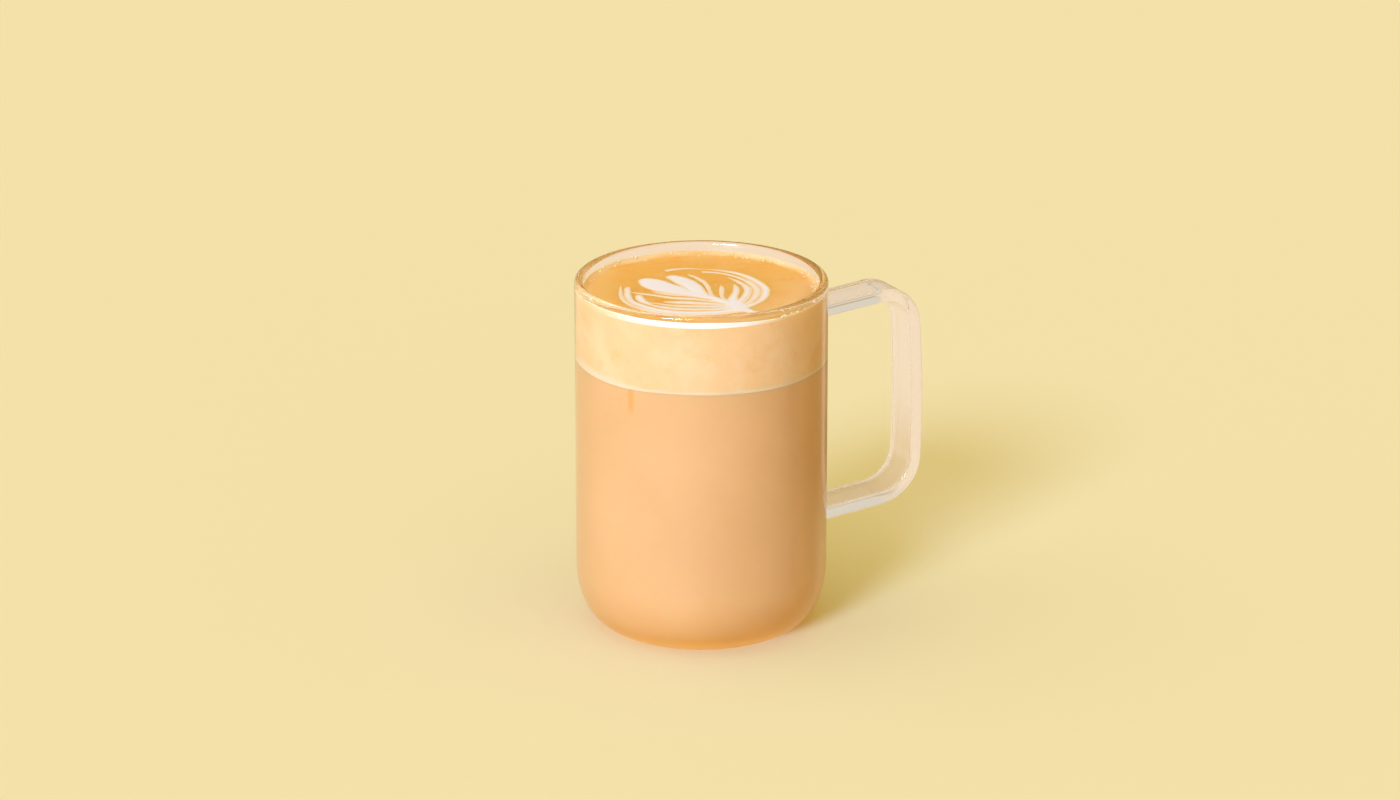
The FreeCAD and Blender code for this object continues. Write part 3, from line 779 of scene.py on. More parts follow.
@dataclass
class Leaf:
    """The leaf of white milk, a thin pad on the crema."""

    drink: Drink
    cell: float = 0.21       # spacing of the grid that the outline is found on, mm
    halo: float = 0.42       # how far the milk bleeds into the crema round each pull, mm
    veil: float = 0.85       # the depth that a veil counts as
    swell: float = 0.2       # how high the milk stands in the middle of a wide lobe, mm
    rounding: float = 0.9    # the depth over which the milk rises, mm
    skin: float = 0.02       # the milk's thickness at its outline, mm
    sink: float = 0.5        # how far its closed underside lies in the foam, mm
    stride: float = 0.8      # spacing of the points along each pull, mm
    outside: float = -99.0   # a depth well outside every pull, mm
    low: tuple[float, float] = (-28.0, -27.5)
    high: tuple[float, float] = (24.0, 25.5)

    def pulls(self) -> list[Pull]:
        """List the pulls, from the outer wraps to the two lobes."""
        pour, veil, part = Effect.POUR, Effect.VEIL, Effect.PART
        return [
            # Wraps on the left, from the outermost.
            Pull(pour, ((-26.1, 4.0, .0), (-26.1, -1, .3), (-26.0, -5, .4), (-25.4, -9, .5),
                (-24.2, -12.8, .5), (-22.2, -16.1, .55), (-19.8, -18.7, .6), (-17.2, -20.9, .7),
                (-14.5, -22.7, .8), (-10, -24.4, .7), (-4, -25.2, .5), (2, -25.2, .5),
                (8, -23.8, .4))),
            Pull(pour, ((-23.8, 2.4, .6), (-24.0, -1, 1.0), (-23.9, -4.5, 1.0),
                (-23.1, -8.5, .95), (-22.0, -12, .95), (-20.0, -14.9, 1.1), (-17.2, -17.6, 1.4),
                (-13.8, -20.5, 1.6), (-9.5, -22.5, 1.6), (-3.5, -23.2, 1.6), (2.5, -23.1, 1.6),
                (7.5, -21.8, 1.6), (12, -19.5, 2.0))),
            Pull(pour, ((-20.2, -6.2, 1.1), (-19.8, -8.8, 1.4), (-18.6, -11.8, 1.2),
                (-16.7, -14.2, 1.1), (-14, -16.4, 1.0), (-10.5, -18.5, .9), (-7, -19.4, .85),
                (0, -19.8, .9), (6, -19.2, 1.1), (11, -17, 1.6))),
            Pull(pour, ((-15.6, -12.8, .0), (-13, -14.3, .4), (-9.5, -15.8, .5), (-5, -16.5, .65),
                (0, -16.6, .85), (6, -16.5, 1.0), (10, -15.5, 1.4))),
            Pull(pour, ((-12.2, -11.8, .0), (-10.6, -12.2, .6), (-7.5, -12.8, .85),
                (-3, -13.2, .95), (2, -13.6, 1.0), (7, -14.2, 1.3), (10, -14.5, 1.4))),
            Pull(pour, ((-23.0, -2.0, .0), (-20.3, -3.2, .35), (-17.4, -4.3, .4),
                (-14.5, -5.5, .5), (-11.8, -6.9, .7), (-9, -8.0, .85), (-5, -8.9, .9),
                (0, -10.0, .95), (4, -11.5, 1.0), (8, -13.6, 1.2))),
            # Wraps on the right, from the outermost.
            Pull(pour, ((-11.0, 20.5, .7), (-8.8, 21.7, .7), (-5, 22.8, .4), (0, 22.1, .05),
                (3.5, 21.5, .1), (7, 20.3, .5), (10.4, 18.5, .8), (13.4, 16.0, .95),
                (15.8, 13.0, 1.0), (17.7, 9.7, 1.05), (19.4, 6, 1.1), (20.6, 2.5, 1.1),
                (20.9, -1.5, 1.15), (20.5, -5.5, 1.1), (19.4, -9.3, 1.05), (17.6, -12.8, 1.0),
                (15.3, -16, 1.0), (13, -18, 1.2))),
            Pull(pour, ((0.7, 19.1, .5), (3.5, 18.6, .6), (6.5, 17.6, .5), (9, 16.1, .55),
                (11.5, 13.9, .6), (13.7, 11.2, .65), (15.4, 8.4, .7), (16.9, 5.3, .7),
                (17.8, 2, .75), (18.0, -2, .8), (17.5, -5.7, .8), (16.5, -9.3, .75),
                (15, -12.8, .8), (13.4, -15.6, 1.0), (12, -17, 1.2))),
            Pull(pour, ((8.6, 13.1, .0), (10.2, 11.4, .35), (11.8, 9.2, .65), (13.2, 6.7, .8),
                (14.4, 4, .95), (15.0, 1, 1.05), (14.9, -2.5, 1.05), (14.2, -6, 1.0),
                (13.2, -9.2, .95), (12.2, -12, 1.2), (11.5, -15, 1.6))),
            Pull(pour, ((10.7, 6.0, .1), (11.2, 3.4, .65), (11.3, 0, .9), (11.0, -3.5, 1.0),
                (10.4, -7, 1.25), (10.2, -10.5, 1.8), (11.4, -14.5, 2.6), (12.2, -17.6, 2.8),
                (13.6, -19.8, 1.9), (15.6, -21.8, 1.4), (17.3, -22.3, .9), (18.9, -22.0, .2))),
            Pull(pour, ((6.3, 4.7, .0), (6.6, 2.2, .6), (6.6, -1.5, .65), (6.6, -5.5, .5),
                (7.2, -9, .5), (8.4, -12.4, 1.0), (9.6, -14.5, 1.2))),
            Pull(pour, ((4.6, 7.8, -.3), (4.75, 5.4, -.1), (5.0, 3.2, -.3))),
            # The foot of the leaf and its tail.
            Pull(pour, ((10.5, -12.5, 1.6), (11.6, -15.5, 2.6), (11.8, -18.2, 2.7),
                (13.6, -20.2, 2.0))),
            Pull(pour, ((14.6, -19.8, 1.2), (16.2, -22.0, 1.1), (16.9, -23.6, .3))),
            # The two lobes and the thin pull beside them.
            Pull(pour, ((-17.4, 9.2, 3.0), (-15.2, 6.4, 4.4), (-12.6, 3.2, 4.6), (-9.4, .9, 4.1),
                (-6.2, -1.2, 3.5), (-3, -3.2, 3.0), (0, -5.4, 2.5), (3.5, -8.5, 2.0),
                (7, -11.9, 1.9), (10, -14.5, 1.8))),
            Pull(pour, ((-9.3, 13.3, 2.1), (-7.4, 11.2, 2.9), (-5.3, 8.6, 3.1), (-3.6, 5.5, 2.9),
                (-2.2, 2, 2.7), (-0.8, -1.5, 2.2), (1.1, -5, 1.8), (3.6, -8.5, 1.5),
                (7, -12.2, 1.5))),
            Pull(pour, ((-4.2, 16.2, .1), (-2.6, 14.6, .45), (-1.1, 12.4, .6), (0.3, 9.8, .65),
                (1.3, 7.1, .65), (2.1, 3.8, .6), (2.6, 0, .5), (3.2, -4, .45), (4.3, -8, .4),
                (6.4, -11.6, .4))),
            # Thin milk dragged in between the pulls, where they run together.
            Pull(veil, ((-16, -1.6, .4), (-12, -3.6, 1.1), (-7, -5.6, 1.5), (-2, -7.5, 1.9),
                (3, -9.8, 2.3), (7, -12.2, 2.2))),
            Pull(veil, ((-9, -11.6, .5), (-4, -12.4, 1.8), (2, -13.6, 3.0), (8, -15, 3.4))),
            Pull(veil, ((-13.5, -15.6, .6), (-8, -17.0, 2.2), (0, -18.4, 4.2), (8, -18.2, 4.4))),
            Pull(veil, ((-21.8, -15.2, .5), (-17, -19.8, 1.8), (-11, -23, 2.6), (-3, -24, 2.4),
                (5, -23, 2.6), (12, -20.5, 2.4))),
            Pull(veil, ((-23.2, -2.4, .2), (-19, -3.9, .9), (-14.5, -5.4, 1.0),
                (-11, -7.2, 1.2))),
            Pull(veil, ((-7.5, 7.5, .5), (-6, 5, 1.0), (-4, 2, 1.0))),
            Pull(veil, ((-25.6, 0, .2), (-24.9, -6, .9), (-22.8, -11.5, 1.7), (-19, -16, 2.0))),
            Pull(veil, ((8.5, 17, .3), (12.5, 13.3, 1.2), (15.8, 8.6, 1.8), (17.7, 3, 2.2),
                (17.7, -3, 2.4), (16, -9, 2.4), (13.5, -14, 2.2))),
            # Crema drawn between the lobes.
            Pull(part, ((-11.6, 11.4, .8), (-9.9, 8.9, .45), (-8.5, 6.8, .05), (-7.0, 4.6, -.3),
                (-5.4, 2.2, -.6), (-3.5, -.5, -.8))),
            Pull(part, ((-4.9, 14.6, .3), (-3.0, 12.5, .15), (-1.4, 10.1, .1), (-0.2, 7.6, .05),
                (0.7, 4.8, .0), (1.3, 1.6, .0), (1.8, -1.8, -.1), (2.6, -5, -.3))),
            Pull(part, ((-18.6, 0.0, .4), (-16.8, -2.0, .3), (-14, -3.9, .2), (-11, -5.3, .15),
                (-8, -6.3, .15), (-4.5, -7.1, .15), (-0.5, -8.4, .1), (3, -10.2, -.1))),
            # Crema drawn between the wraps.
            Pull(part, ((-9.8, -9.8, .6), (-5, -10.6, .4), (0, -11.3, .3), (4, -12.6, .05),
                (7, -14.3, -.3))),
            Pull(part, ((-12.4, -13.2, .25), (-10, -14.0, .2), (-7, -14.6, .15), (-3, -14.9, .15),
                (2, -15.2, .05), (7, -15.7, -.25))),
            Pull(part, ((-15.3, -14.4, .25), (-12.5, -15.9, .2), (-10, -16.9, .15),
                (-7, -17.7, .15), (-3, -18.1, .15), (2, -18.1, .05), (7, -17.7, -.25))),
            Pull(part, ((-21.7, -4.6, .3), (-21.6, -9, .2), (-20.5, -11.7, .1),
                (-18.9, -13.7, .1), (-16.6, -15.9, .1), (-14.1, -17.9, .1), (-10.8, -19.8, .1),
                (-5, -21.1, .1), (1, -21.2, .05), (7, -20.4, -.2))),
            Pull(part, ((-25.1, -1, .1), (-25.0, -5, -.1), (-24.5, -8.6, -.15),
                (-23.6, -11.6, -.15), (-22.4, -14.1, -.2), (-20.7, -16.2, -.25),
                (-19, -17.5, -.4))),
            Pull(part, ((8.6, 18.0, .2), (11, 15.9, .1), (13.3, 13.3, .0), (15.4, 10.4, -.1),
                (17.3, 7.4, -.15), (18.8, 4, -.15), (19.4, 0, -.15), (19.2, -4, -.15),
                (18.4, -8, -.1), (17.2, -11.4, -.1), (15.6, -14.2, -.3))),
            Pull(part, ((8.4, 14.6, .2), (10.2, 12.9, .1), (12.3, 10.5, .1), (14.1, 7.9, .0),
                (15.6, 5.2, -.1), (16.5, 2, -.1), (16.6, -2, -.1), (16.1, -6, -.05),
                (15.3, -9.6, -.05), (13.9, -13.3, -.2))),
            Pull(part, ((12.4, 5.6, .3), (13.0, 2, .25), (13.0, -2, .2), (12.4, -6, .15),
                (11.9, -8.6, -.1))),
        ]

    def inside(self, x: Array, y: Array) -> Array:
        """Measure how deep each point lies in the milk, in mm; outside is negative."""
        deepest = {effect: np.full(x.shape, self.outside) for effect in Effect}
        for pull in self.pulls():
            path = pull.path(self.stride)
            depth = np.full(x.shape, self.outside)
            for start, end in zip(path, path[1:]):
                along = end[:2] - start[:2]
                share = ((x - start[0]) * along[0] + (y - start[1]) * along[1]) / (along @ along)
                share = np.clip(share, 0.0, 1.0)
                gap = np.hypot(x - start[0] - along[0] * share, y - start[1] - along[1] * share)
                depth = np.maximum(depth, start[2] + (end[2] - start[2]) * share - gap)
            deepest[pull.effect] = np.maximum(deepest[pull.effect], depth)
        wobble = 0.06 * ripple(x, y, 5.0, 5.0)
        milk = np.maximum(deepest[Effect.POUR] + self.halo,
                          np.minimum(deepest[Effect.VEIL], self.veil))
        return np.minimum(milk, -deepest[Effect.PART]) + wobble

    def make(self) -> bpy.types.Object:
        """Find the milk's outline on a grid and make the pad inside it."""
        xs = np.arange(self.low[0], self.high[0], self.cell)
        ys = np.arange(self.low[1], self.high[1], self.cell)
        x, y = np.meshgrid(xs, ys, indexing="ij")
        depth = self.inside(x, y)
        columns = len(ys)
        flat = np.stack([x.ravel(), y.ravel(), depth.ravel()], 1)
        points: list[Array] = []
        known: dict[object, int] = {}

        def corner(key: object, place: Array) -> int:
            """Number a corner once and remember it."""
            if key not in known:
                known[key] = len(points)
                points.append(place)
            return known[key]

        top: list[tuple[int, ...]] = []
        wet = depth > 0
        near = wet[:-1, :-1] | wet[1:, :-1] | wet[:-1, 1:] | wet[1:, 1:]
        for i, j in zip(*np.nonzero(near)):
            a, b = i * columns + j, (i + 1) * columns + j
            c, d = b + 1, a + 1
            for triangle in ((a, b, c), (a, c, d)):
                shape: list[int] = []
                for here, there in zip(triangle, triangle[1:] + triangle[:1]):
                    if flat[here, 2] > 0:
                        shape.append(corner(here, flat[here]))
                    if (flat[here, 2] > 0) != (flat[there, 2] > 0):
                        share = flat[here, 2] / (flat[here, 2] - flat[there, 2])
                        place = flat[here] + (flat[there] - flat[here]) * share
                        shape.append(corner((min(here, there), max(here, there)), place))
                if len(shape) >= 3:
                    top.append(tuple(shape))
        return self.close(np.array(points), top)

    def close(self, flat: Array, top: list[tuple[int, ...]]) -> bpy.types.Object:
        """Give the outline its height and close it underneath.

        Args:
            flat: rows of x, y and depth in the milk, mm.
            top: the faces of the upper side.

        Returns:
            The finished pad, not yet dressed.
        """
        depth = np.maximum(flat[:, 2], 0.0)
        x, y = turned(flat[:, 0], flat[:, 1], FRONT_TURN)
        rise = self.skin + self.swell * (1.0 - np.exp(-depth / self.rounding))
        height = self.drink.surface(x, y) + rise
        upper = np.stack([x, y, height], 1)
        lower = np.stack([x, y, np.full(len(x), self.drink.level - self.sink)], 1)
        count = len(upper)
        edges = {(face[k], face[(k + 1) % len(face)]) for face in top for k in range(len(face))}
        rim = [(a, b) for a, b in edges if (b, a) not in edges]
        faces = list(top)
        faces += [tuple(count + corner for corner in reversed(face)) for face in top]
        faces += [(b, a, count + a, count + b) for a, b in sorted(rim)]
        return make_mesh("milk_leaf", np.concatenate([upper, lower]), faces,
                         {"depth": np.concatenate([depth, depth])})

    def build(self) -> None:
        """Make the leaf, dress it and hand it to the frame."""
        hand_over(self.make(), PouredMilk().build())


# ---------------------------------------------------------------- the mug


@dataclass
class Mug:
    """The glass mug: a turned tumbler with a flat strap handle flowed onto its wall.

    It repeats the frame's own mug with finer and smoother faces, because clear glass
    shows every flat. All sizes are in millimetres.
    """

    node: str = "glass_mug"
    outer: float = 41.0
    height: float = 117.15
    wall: float = 2.9
    base: float = 4.2
    foot: float = 28.8             # radius of the flat foot
    floor: float = 26.6            # radius of the flat floor inside
    corner: float = 20.3           # height where both lower corners end
    rim: float = 1.25              # rounding of both rim edges
    width: float = 14.2            # strap, side to side
    thick: float = 4.5             # strap, through
    edge: float = 1.2              # rounding of the strap's long edges
    root: float = 1.8              # glass flowed between the strap and the wall
    start: float = 39.5            # where the strap's centre line begins, inside the wall
    upper: float = 100.74          # height of the upper arm there
    lower: float = 30.29           # height of the lower arm there
    slope: float = math.radians(4.2)
    upper_reach: float = 76.5      # from the axis to the top of the grip
    lower_reach: float = 77.4      # from the axis to the foot of the grip
    arm_gap: float = 3.2           # from the wall to an arm's first ring
    upper_bend: float = 11.6
    lower_bend: float = 13.9
    grip_bend: float = 384.0
    grip_trim: float = 0.0008      # angle left free at both ends of the grip's arc
    columns: int = 384             # facets round the tumbler
    window: int = 18               # facets on each side of a root that are made to fit it
    window_rise: float = 7.0       # height of that window above and below the arm
    window_rows: int = 16
    clear: float = 0.45            # least distance of the wall's corners from a root
    guard: float = 0.3             # from a rounding to the guard ring that keeps it crisp
    corner_steps: int = 28
    rim_steps: int = 12
    edge_steps: int = 8
    wide_steps: int = 12           # across the strap's broad faces
    narrow_steps: int = 3          # across its narrow sides
    root_steps: int = 10
    bend_steps: int = 26
    grip_steps: int = 16
    arm_steps: int = 8

    def arm_height(self, beginning: float, x: float) -> float:
        """Give the height of an arm's centre line at a distance from the axis."""
        return beginning + math.tan(self.slope) * (x - self.start)

    def tumbler_profile(self) -> list[tuple[float, float]]:
        """Follow the tumbler's section from the middle of its foot to the middle of its floor.

        Returns:
            Radius and height of each ring, without the two middles.
        """
        rings = [(self.foot * 0.5, 0.0), (self.foot - self.guard, 0.0), (self.foot, 0.0)]
        for sine, cosine in quarter_turn(self.corner_steps, 1):
            rings.append((self.foot + (self.outer - self.foot) * sine,
                          self.corner * (1.0 - cosine)))
        rings.append((self.outer, self.corner + self.guard))
        for beginning in (self.lower, self.upper):
            middle = self.arm_height(beginning, self.outer)
            for row in range(self.window_rows + 1):
                share = 2.0 * row / self.window_rows - 1.0
                rings.append((self.outer, middle + self.window_rise * share))
        under_rim = self.height - self.rim - self.guard
        rings.append((self.outer, under_rim))
        inner = self.outer - self.wall
        for sine, cosine in quarter_turn(self.rim_steps):
            rings.append((self.outer - self.rim * (1.0 - cosine),
                          self.height - self.rim * (1.0 - sine)))
        for sine, cosine in quarter_turn(self.rim_steps):
            rings.append((inner + self.rim * (1.0 - sine),
                          self.height - self.rim * (1.0 - cosine)))
        rings += [(inner, under_rim), (inner, self.corner + self.guard)]
        for sine, cosine in quarter_turn(self.corner_steps):
            rings.append((self.floor + (inner - self.floor) * cosine,
                          self.corner - (self.corner - self.base) * sine))
        return rings + [(self.floor - self.guard, self.base), (self.floor * 0.5, self.base)]

    def strap_section(self) -> Array:
        """Give the strap's section: rows of across, up and the outward direction of each point."""
        rows = []
        side, top = self.width / 2 - self.edge, self.thick / 2 - self.edge
        middles = ((side, top), (-side, top), (-side, -top), (side, -top))
        for turn, (across, up) in enumerate(middles):
            for step in range(self.edge_steps + 1):
                angle = math.pi / 2 * (turn + step / self.edge_steps)
                out = (math.cos(angle), math.sin(angle))
                rows.append((across + self.edge * out[0], up + self.edge * out[1], *out))
            following = middles[(turn + 1) % len(middles)]
            end = (across + self.edge * out[0], up + self.edge * out[1])
            goal = (following[0] + self.edge * out[0], following[1] + self.edge * out[1])
            parts = self.narrow_steps if turn % 2 else self.wide_steps
            for step in range(1, parts):
                share = step / parts
                rows.append((end[0] + (goal[0] - end[0]) * share,
                             end[1] + (goal[1] - end[1]) * share, *out))
        return np.array(rows)

    def strap_line(self) -> Array:
        """Follow the strap's centre line from the upper root to the lower one.

        The grip is a long shallow arc that meets both corner arcs smoothly. Its middle is
        found by halving, because both corners also have to touch their own arms.

        Returns:
            Rows of x, z and the line's direction (x, z).
        """
        tangent, cosine = math.tan(self.slope), math.cos(self.slope)

        def corner(middle: float, beginning: float, reach: float, bend: float,
                   side: int) -> tuple[float, float, float, float]:
            """Find a corner arc's middle, the grip's own middle height and the joining angle."""
            angle = side * math.acos((reach - middle) / self.grip_bend)
            x = reach - bend * math.cos(angle)
            z = beginning + tangent * (x - self.start) - side * bend / cosine
            return x, z, z - (self.grip_bend - bend) * math.sin(angle), angle

        ends = ((self.upper, self.upper_reach, self.upper_bend, 1),
                (self.lower, self.lower_reach, self.lower_bend, -1))
        low, high = self.lower_reach - self.grip_bend, self.upper_reach - self.grip_bend / 2
        for _ in range(60):
            middle = (low + high) / 2
            above, below = (corner(middle, *end) for end in ends)
            if above[2] > below[2]:
                low = middle
            else:
                high = middle
        rows = []

        def arc(x: float, z: float, radius: float, first: float, last: float, parts: int) -> None:
            """Add the points of an arc that runs clockwise from its first angle to its last."""
            for step in range(parts + 1):
                angle = first + (last - first) * step / parts
                rows.append((x + radius * math.cos(angle), z + radius * math.sin(angle),
                             math.sin(angle), -math.cos(angle)))

        up = self.slope + math.pi / 2
        first = above[0] + self.upper_bend * math.cos(up)
        beside_root = self.outer + self.arm_gap
        for x in np.linspace(beside_root, first - self.guard, self.arm_steps):
            rows.append((x, self.arm_height(self.upper, x), cosine, math.sin(self.slope)))
        arc(above[0], above[1], self.upper_bend, up, above[3], self.bend_steps)
        arc(middle, above[2], self.grip_bend, above[3] - self.grip_trim,
            below[3] + self.grip_trim, self.grip_steps)
        arc(below[0], below[1], self.lower_bend, below[3], self.slope - math.pi / 2,
            self.bend_steps)
        last = rows[-1][0]
        for x in np.linspace(last - self.guard, beside_root, self.arm_steps):
            rows.append((x, self.arm_height(self.lower, x), -cosine, -math.sin(self.slope)))
        return np.array(rows)

    def strap_root(self, beginning: float) -> list[Array]:
        """Flow a strap end onto the wall.

        Args:
            beginning: height of that arm where its centre line begins.

        Returns:
            Rings of points, from the strap to the wall.
        """
        section = self.strap_section()
        rings = []
        for step in range(self.root_steps + 1):
            angle = math.pi / 2 * (1.0 - step / self.root_steps)
            gap, spread = self.root * (1.0 - math.cos(angle)), self.root * (1.0 - math.sin(angle))
            across = section[:, 0] + section[:, 2] * spread
            up = section[:, 1] + section[:, 3] * spread
            x = np.sqrt(self.outer ** 2 - across ** 2) + gap
            z = beginning + math.tan(self.slope) * (x - self.start) + up / math.cos(self.slope)
            rings.append(np.stack([x, across, z], 1))
        return rings

    def fit_window(self, points: Array, rows: list[int],
                   mouth: list[int]) -> list[tuple[int, ...]]:
        """Fill a window of the wall round a strap's root.

        Args:
            points: every corner of the mug so far, mm.
            rows: first corner of each ring that crosses the window.
            mouth: the corners of the root's last ring, in order.

        Returns:
            The faces between the window's edge and the root.
        """
        span = range(-self.window, self.window + 1)

        def at(row: int, column: int) -> int:
            """Number of the corner in a ring."""
            return rows[row] + column % self.columns

        def flat(index: int) -> Vector:
            """Unroll a corner of the wall."""
            x, y, z = points[index]
            return Vector((math.atan2(y, x) * self.outer, z))

        last = len(rows) - 1
        border = ([at(0, c) for c in span] + [at(r, self.window) for r in range(1, last)]
                  + [at(last, c) for c in reversed(span)]
                  + [at(r, -self.window) for r in range(last - 1, 0, -1)])
        loop = np.array([flat(index) for index in mouth])
        inner = []
        for row in range(1, last):
            for column in span[1:-1]:
                place = np.array(flat(at(row, column)))
                away = loop - place
                following = np.roll(loop, -1, 0) - place
                turns = np.arctan2(away[:, 0] * following[:, 1] - away[:, 1] * following[:, 0],
                                   (away * following).sum(1)).sum()
                if abs(turns) < 1.0 and np.hypot(*away.T).min() > self.clear:
                    inner.append(at(row, column))
        numbers = border + mouth + inner
        edges = [(k, (k + 1) % len(border)) for k in range(len(border))]
        edges += [(len(border) + k, len(border) + (k + 1) % len(mouth))
                  for k in range(len(mouth))]
        result = delaunay_2d_cdt([flat(index) for index in numbers], edges, [], 0, 1e-6)
        hole = set(range(len(border), len(border) + len(mouth)))
        faces = []
        for face in result[2]:
            corners = [result[3][corner][0] for corner in face]
            if not set(corners) <= hole:
                faces.append(tuple(numbers[corner] for corner in corners))
        return faces

    def make(self) -> bpy.types.Object:
        """Make the tumbler and its strap as one closed piece of glass."""
        body = Turned(self.columns)
        profile = self.tumbler_profile()
        for radius, height in profile:
            body.ring(radius, height)
        points = list(body.points(0.0, self.base))
        windows = []
        gone: set[int] = set()
        for beginning in (self.upper, self.lower):
            middle = self.arm_height(beginning, self.outer)
            rows = [k for k, (radius, height) in enumerate(profile)
                    if radius == self.outer and abs(height - middle) < self.window_rise + 0.01]
            windows.append([1 + k * self.columns for k in rows])
            for row in rows[:-1]:
                gone |= {self.columns * (row + 1) + c % self.columns
                         for c in range(-self.window, self.window)}
        faces = [face for index, face in enumerate(body.faces()) if index not in gone]

        section = self.strap_section()
        rings = self.strap_root(self.upper)[::-1]
        for x, z, along, rise in self.strap_line():
            rings.append(np.stack([x - section[:, 1] * rise, section[:, 0],
                                   z + section[:, 1] * along], 1))
        # The strap has turned over by the time that it comes back to the wall.
        turned_over = self.turned_over(section)
        rings += [ring[turned_over] for ring in self.strap_root(self.lower)]
        first = len(points)
        count = len(section)
        for ring in rings:
            points += list(ring)
        for row in range(len(rings) - 1):
            low, high = first + row * count, first + (row + 1) * count
            faces += [(low + k, low + (k + 1) % count, high + (k + 1) % count, high + k)
                      for k in range(count)]
        table = np.array(points)
        mouths = ([first + k for k in range(count)],
                  [first + (len(rings) - 1) * count + k for k in range(count)])
        for rows, mouth in zip(windows, mouths):
            faces += self.fit_window(table, rows, mouth)
        return make_mesh("mug_glass", table, faces, tidy=True)

    def turned_over(self, section: Array) -> Array:
        """Pair each point of the section with the point that mirrors it upside down."""
        flipped = section[:, :2] * np.array([1.0, -1.0])
        gaps = np.hypot(flipped[:, None, 0] - section[None, :, 0],
                        flipped[:, None, 1] - section[None, :, 1])
        return gaps.argmin(1)

    def build(self) -> None:
        """Make the mug, dress it and hand it to the frame."""
        hand_over(self.make(), ClearGlass().build(), self.node)


# ---------------------------------------------------------------- the studio


@dataclass
class Studio:
    """A plain pale floor, soft light and the camera.

    Light that falls on matt things comes from the key, a glow on the floor and a soft sky.
    When they are looked at, floor and sky have a plain colour of their own, another one
    through the glass and another one in mirror reflections, where the floor has painted shade
    on the far side. Near is the side of the key.
    """

    floor_half: float = 6.0                    # m
    floor_colour: Colour = (0.815, 0.747, 0.475, 1.0)
    floor_through_glass: Colour = (0.85, 0.735, 0.64, 1.0)
    # Painted shade: the floor as mirror reflections see it on the far side, away from the key.
    floor_mirrored_in_shade: Colour = (0.46, 0.36, 0.20, 1.0)
    near_glow: Colour = (1.28, 1.06, 0.65, 1.0)
    far_glow: Colour = (0.60, 0.34, 0.0, 1.0)
    foot_glow: float = 0.86                    # extra share of the glow round the mug's foot
    glow_span: Span = (-0.03, 0.13)            # m towards the bright side
    mirror_span: Span = (-0.18, -0.07)
    foot_span: Span = (0.09, 0.035)            # m from the middle of the foot
    seen_colour: Colour = srgb(243, 225, 171)
    glass_sees: Colour = srgb(246, 222, 192)
    glass_sees_room: Colour = srgb(218, 209, 194)
    glass_sees_above: Colour = srgb(198, 180, 152)
    glass_sees_front: Colour = srgb(186, 154, 118)
    room_rise: Span = (0.18, 0.26)             # parts of a direction, from 0 to 1
    room_away: Span = (0.75, 0.88)
    above_rise: Span = (0.5, 0.7)
    front_near: Span = (0.1, 0.6)
    near_top: Colour = (1.01, 0.86, 0.64, 1.0)
    far_top: Colour = (1.01, 0.84, 0.26, 1.0)
    near_sky: Colour = (0.82, 0.79, 0.68, 1.0)
    far_sky: Colour = (0.22, 0.09, 0.0, 1.0)
    sky_rise: Span = (0.05, 0.85)
    sky_side: Span = (-0.2, 0.7)
    near_shine: Colour = (1.0, 0.94, 0.84, 1.0)
    far_shine: Colour = (0.34, 0.24, 0.12, 1.0)
    bright_turn: float = math.radians(-45.0)   # from the camera's side, towards its left
    bright_height: float = math.radians(20.0)
    window: Colour = (14.0, 14.0, 13.0, 1.0)
    window_turn: float = math.radians(-24.0)
    window_height: float = math.radians(33.0)
    window_half: Span = (0.20, 0.19)           # across and up
    window_edge: float = 0.02
    window_front: Span = (0.0, 0.1)            # keeps it to its own side
    key: float = 2.50
    key_colour: tuple[float, float, float] = (0.51, 0.615, 0.97)
    key_turn: float = math.radians(-29.0)
    key_height: float = math.radians(32.0)
    key_spread: float = math.radians(16.0)
    camera_distance: float = 1.884             # m
    camera_height: float = 0.730
    camera_pitch: float = math.radians(19.16)
    camera_yaw: float = math.radians(0.0132)
    camera_reach: float = 50.0                 # how far it sees, m
    lens: float = 157.8                        # mm
    sensor: float = 36.0
    light_bounces: int = 24                    # enough for light that winds through the glass

    def toward(self, turn: float, height: float) -> Vector:
        """Point from the mug in a direction given from the camera's side."""
        across = FRONT_TURN + turn
        return Vector((math.sin(across) * math.cos(height), -math.cos(across) * math.cos(height),
                       math.sin(height)))

    def make_floor(self) -> None:
        """Lay the floor that the mug stands on."""
        half = self.floor_half / MM
        floor = make_mesh("floor", np.array([[-half, -half, 0], [half, -half, 0],
                                             [half, half, 0], [-half, half, 0]]), [(0, 1, 2, 3)])
        nodes = Nodes("pale_floor")
        side = self.sideways(nodes)
        away = nodes.add("VectorMath", Vector=nodes.coords)
        away.operation = "LENGTH"
        foot = nodes.step(away.outputs["Value"], *self.foot_span)
        strength = nodes.math("MULTIPLY_ADD", foot, self.foot_glow, 1.0)
        colour = nodes.mix(nodes.step(side, *self.glow_span), self.far_glow, self.near_glow)
        glow = nodes.add("Emission", Color=colour, Strength=strength).outputs[0]

        def matt(colour: Colour | Socket) -> Socket:
            """Add a matt surface of that colour."""
            return nodes.add("BsdfDiffuse", Color=colour).outputs[0]

        # Painted shade on the floor's far side, seen only in mirror reflections.
        mirrored = nodes.mix(nodes.step(side, *self.mirror_span), self.floor_mirrored_in_shade,
                             self.floor_colour)
        path = nodes.add("LightPath")
        seen = nodes.choose(path.outputs["Is Glossy Ray"], matt(self.floor_colour),
                            matt(mirrored))
        seen = nodes.choose(path.outputs["Is Transmission Ray"], seen,
                            matt(self.floor_through_glass))
        material = nodes.finish(nodes.choose(self.lights_things(nodes, path), seen, glow))
        material.cycles.emission_sampling = "NONE"
        floor.data.materials.append(material)

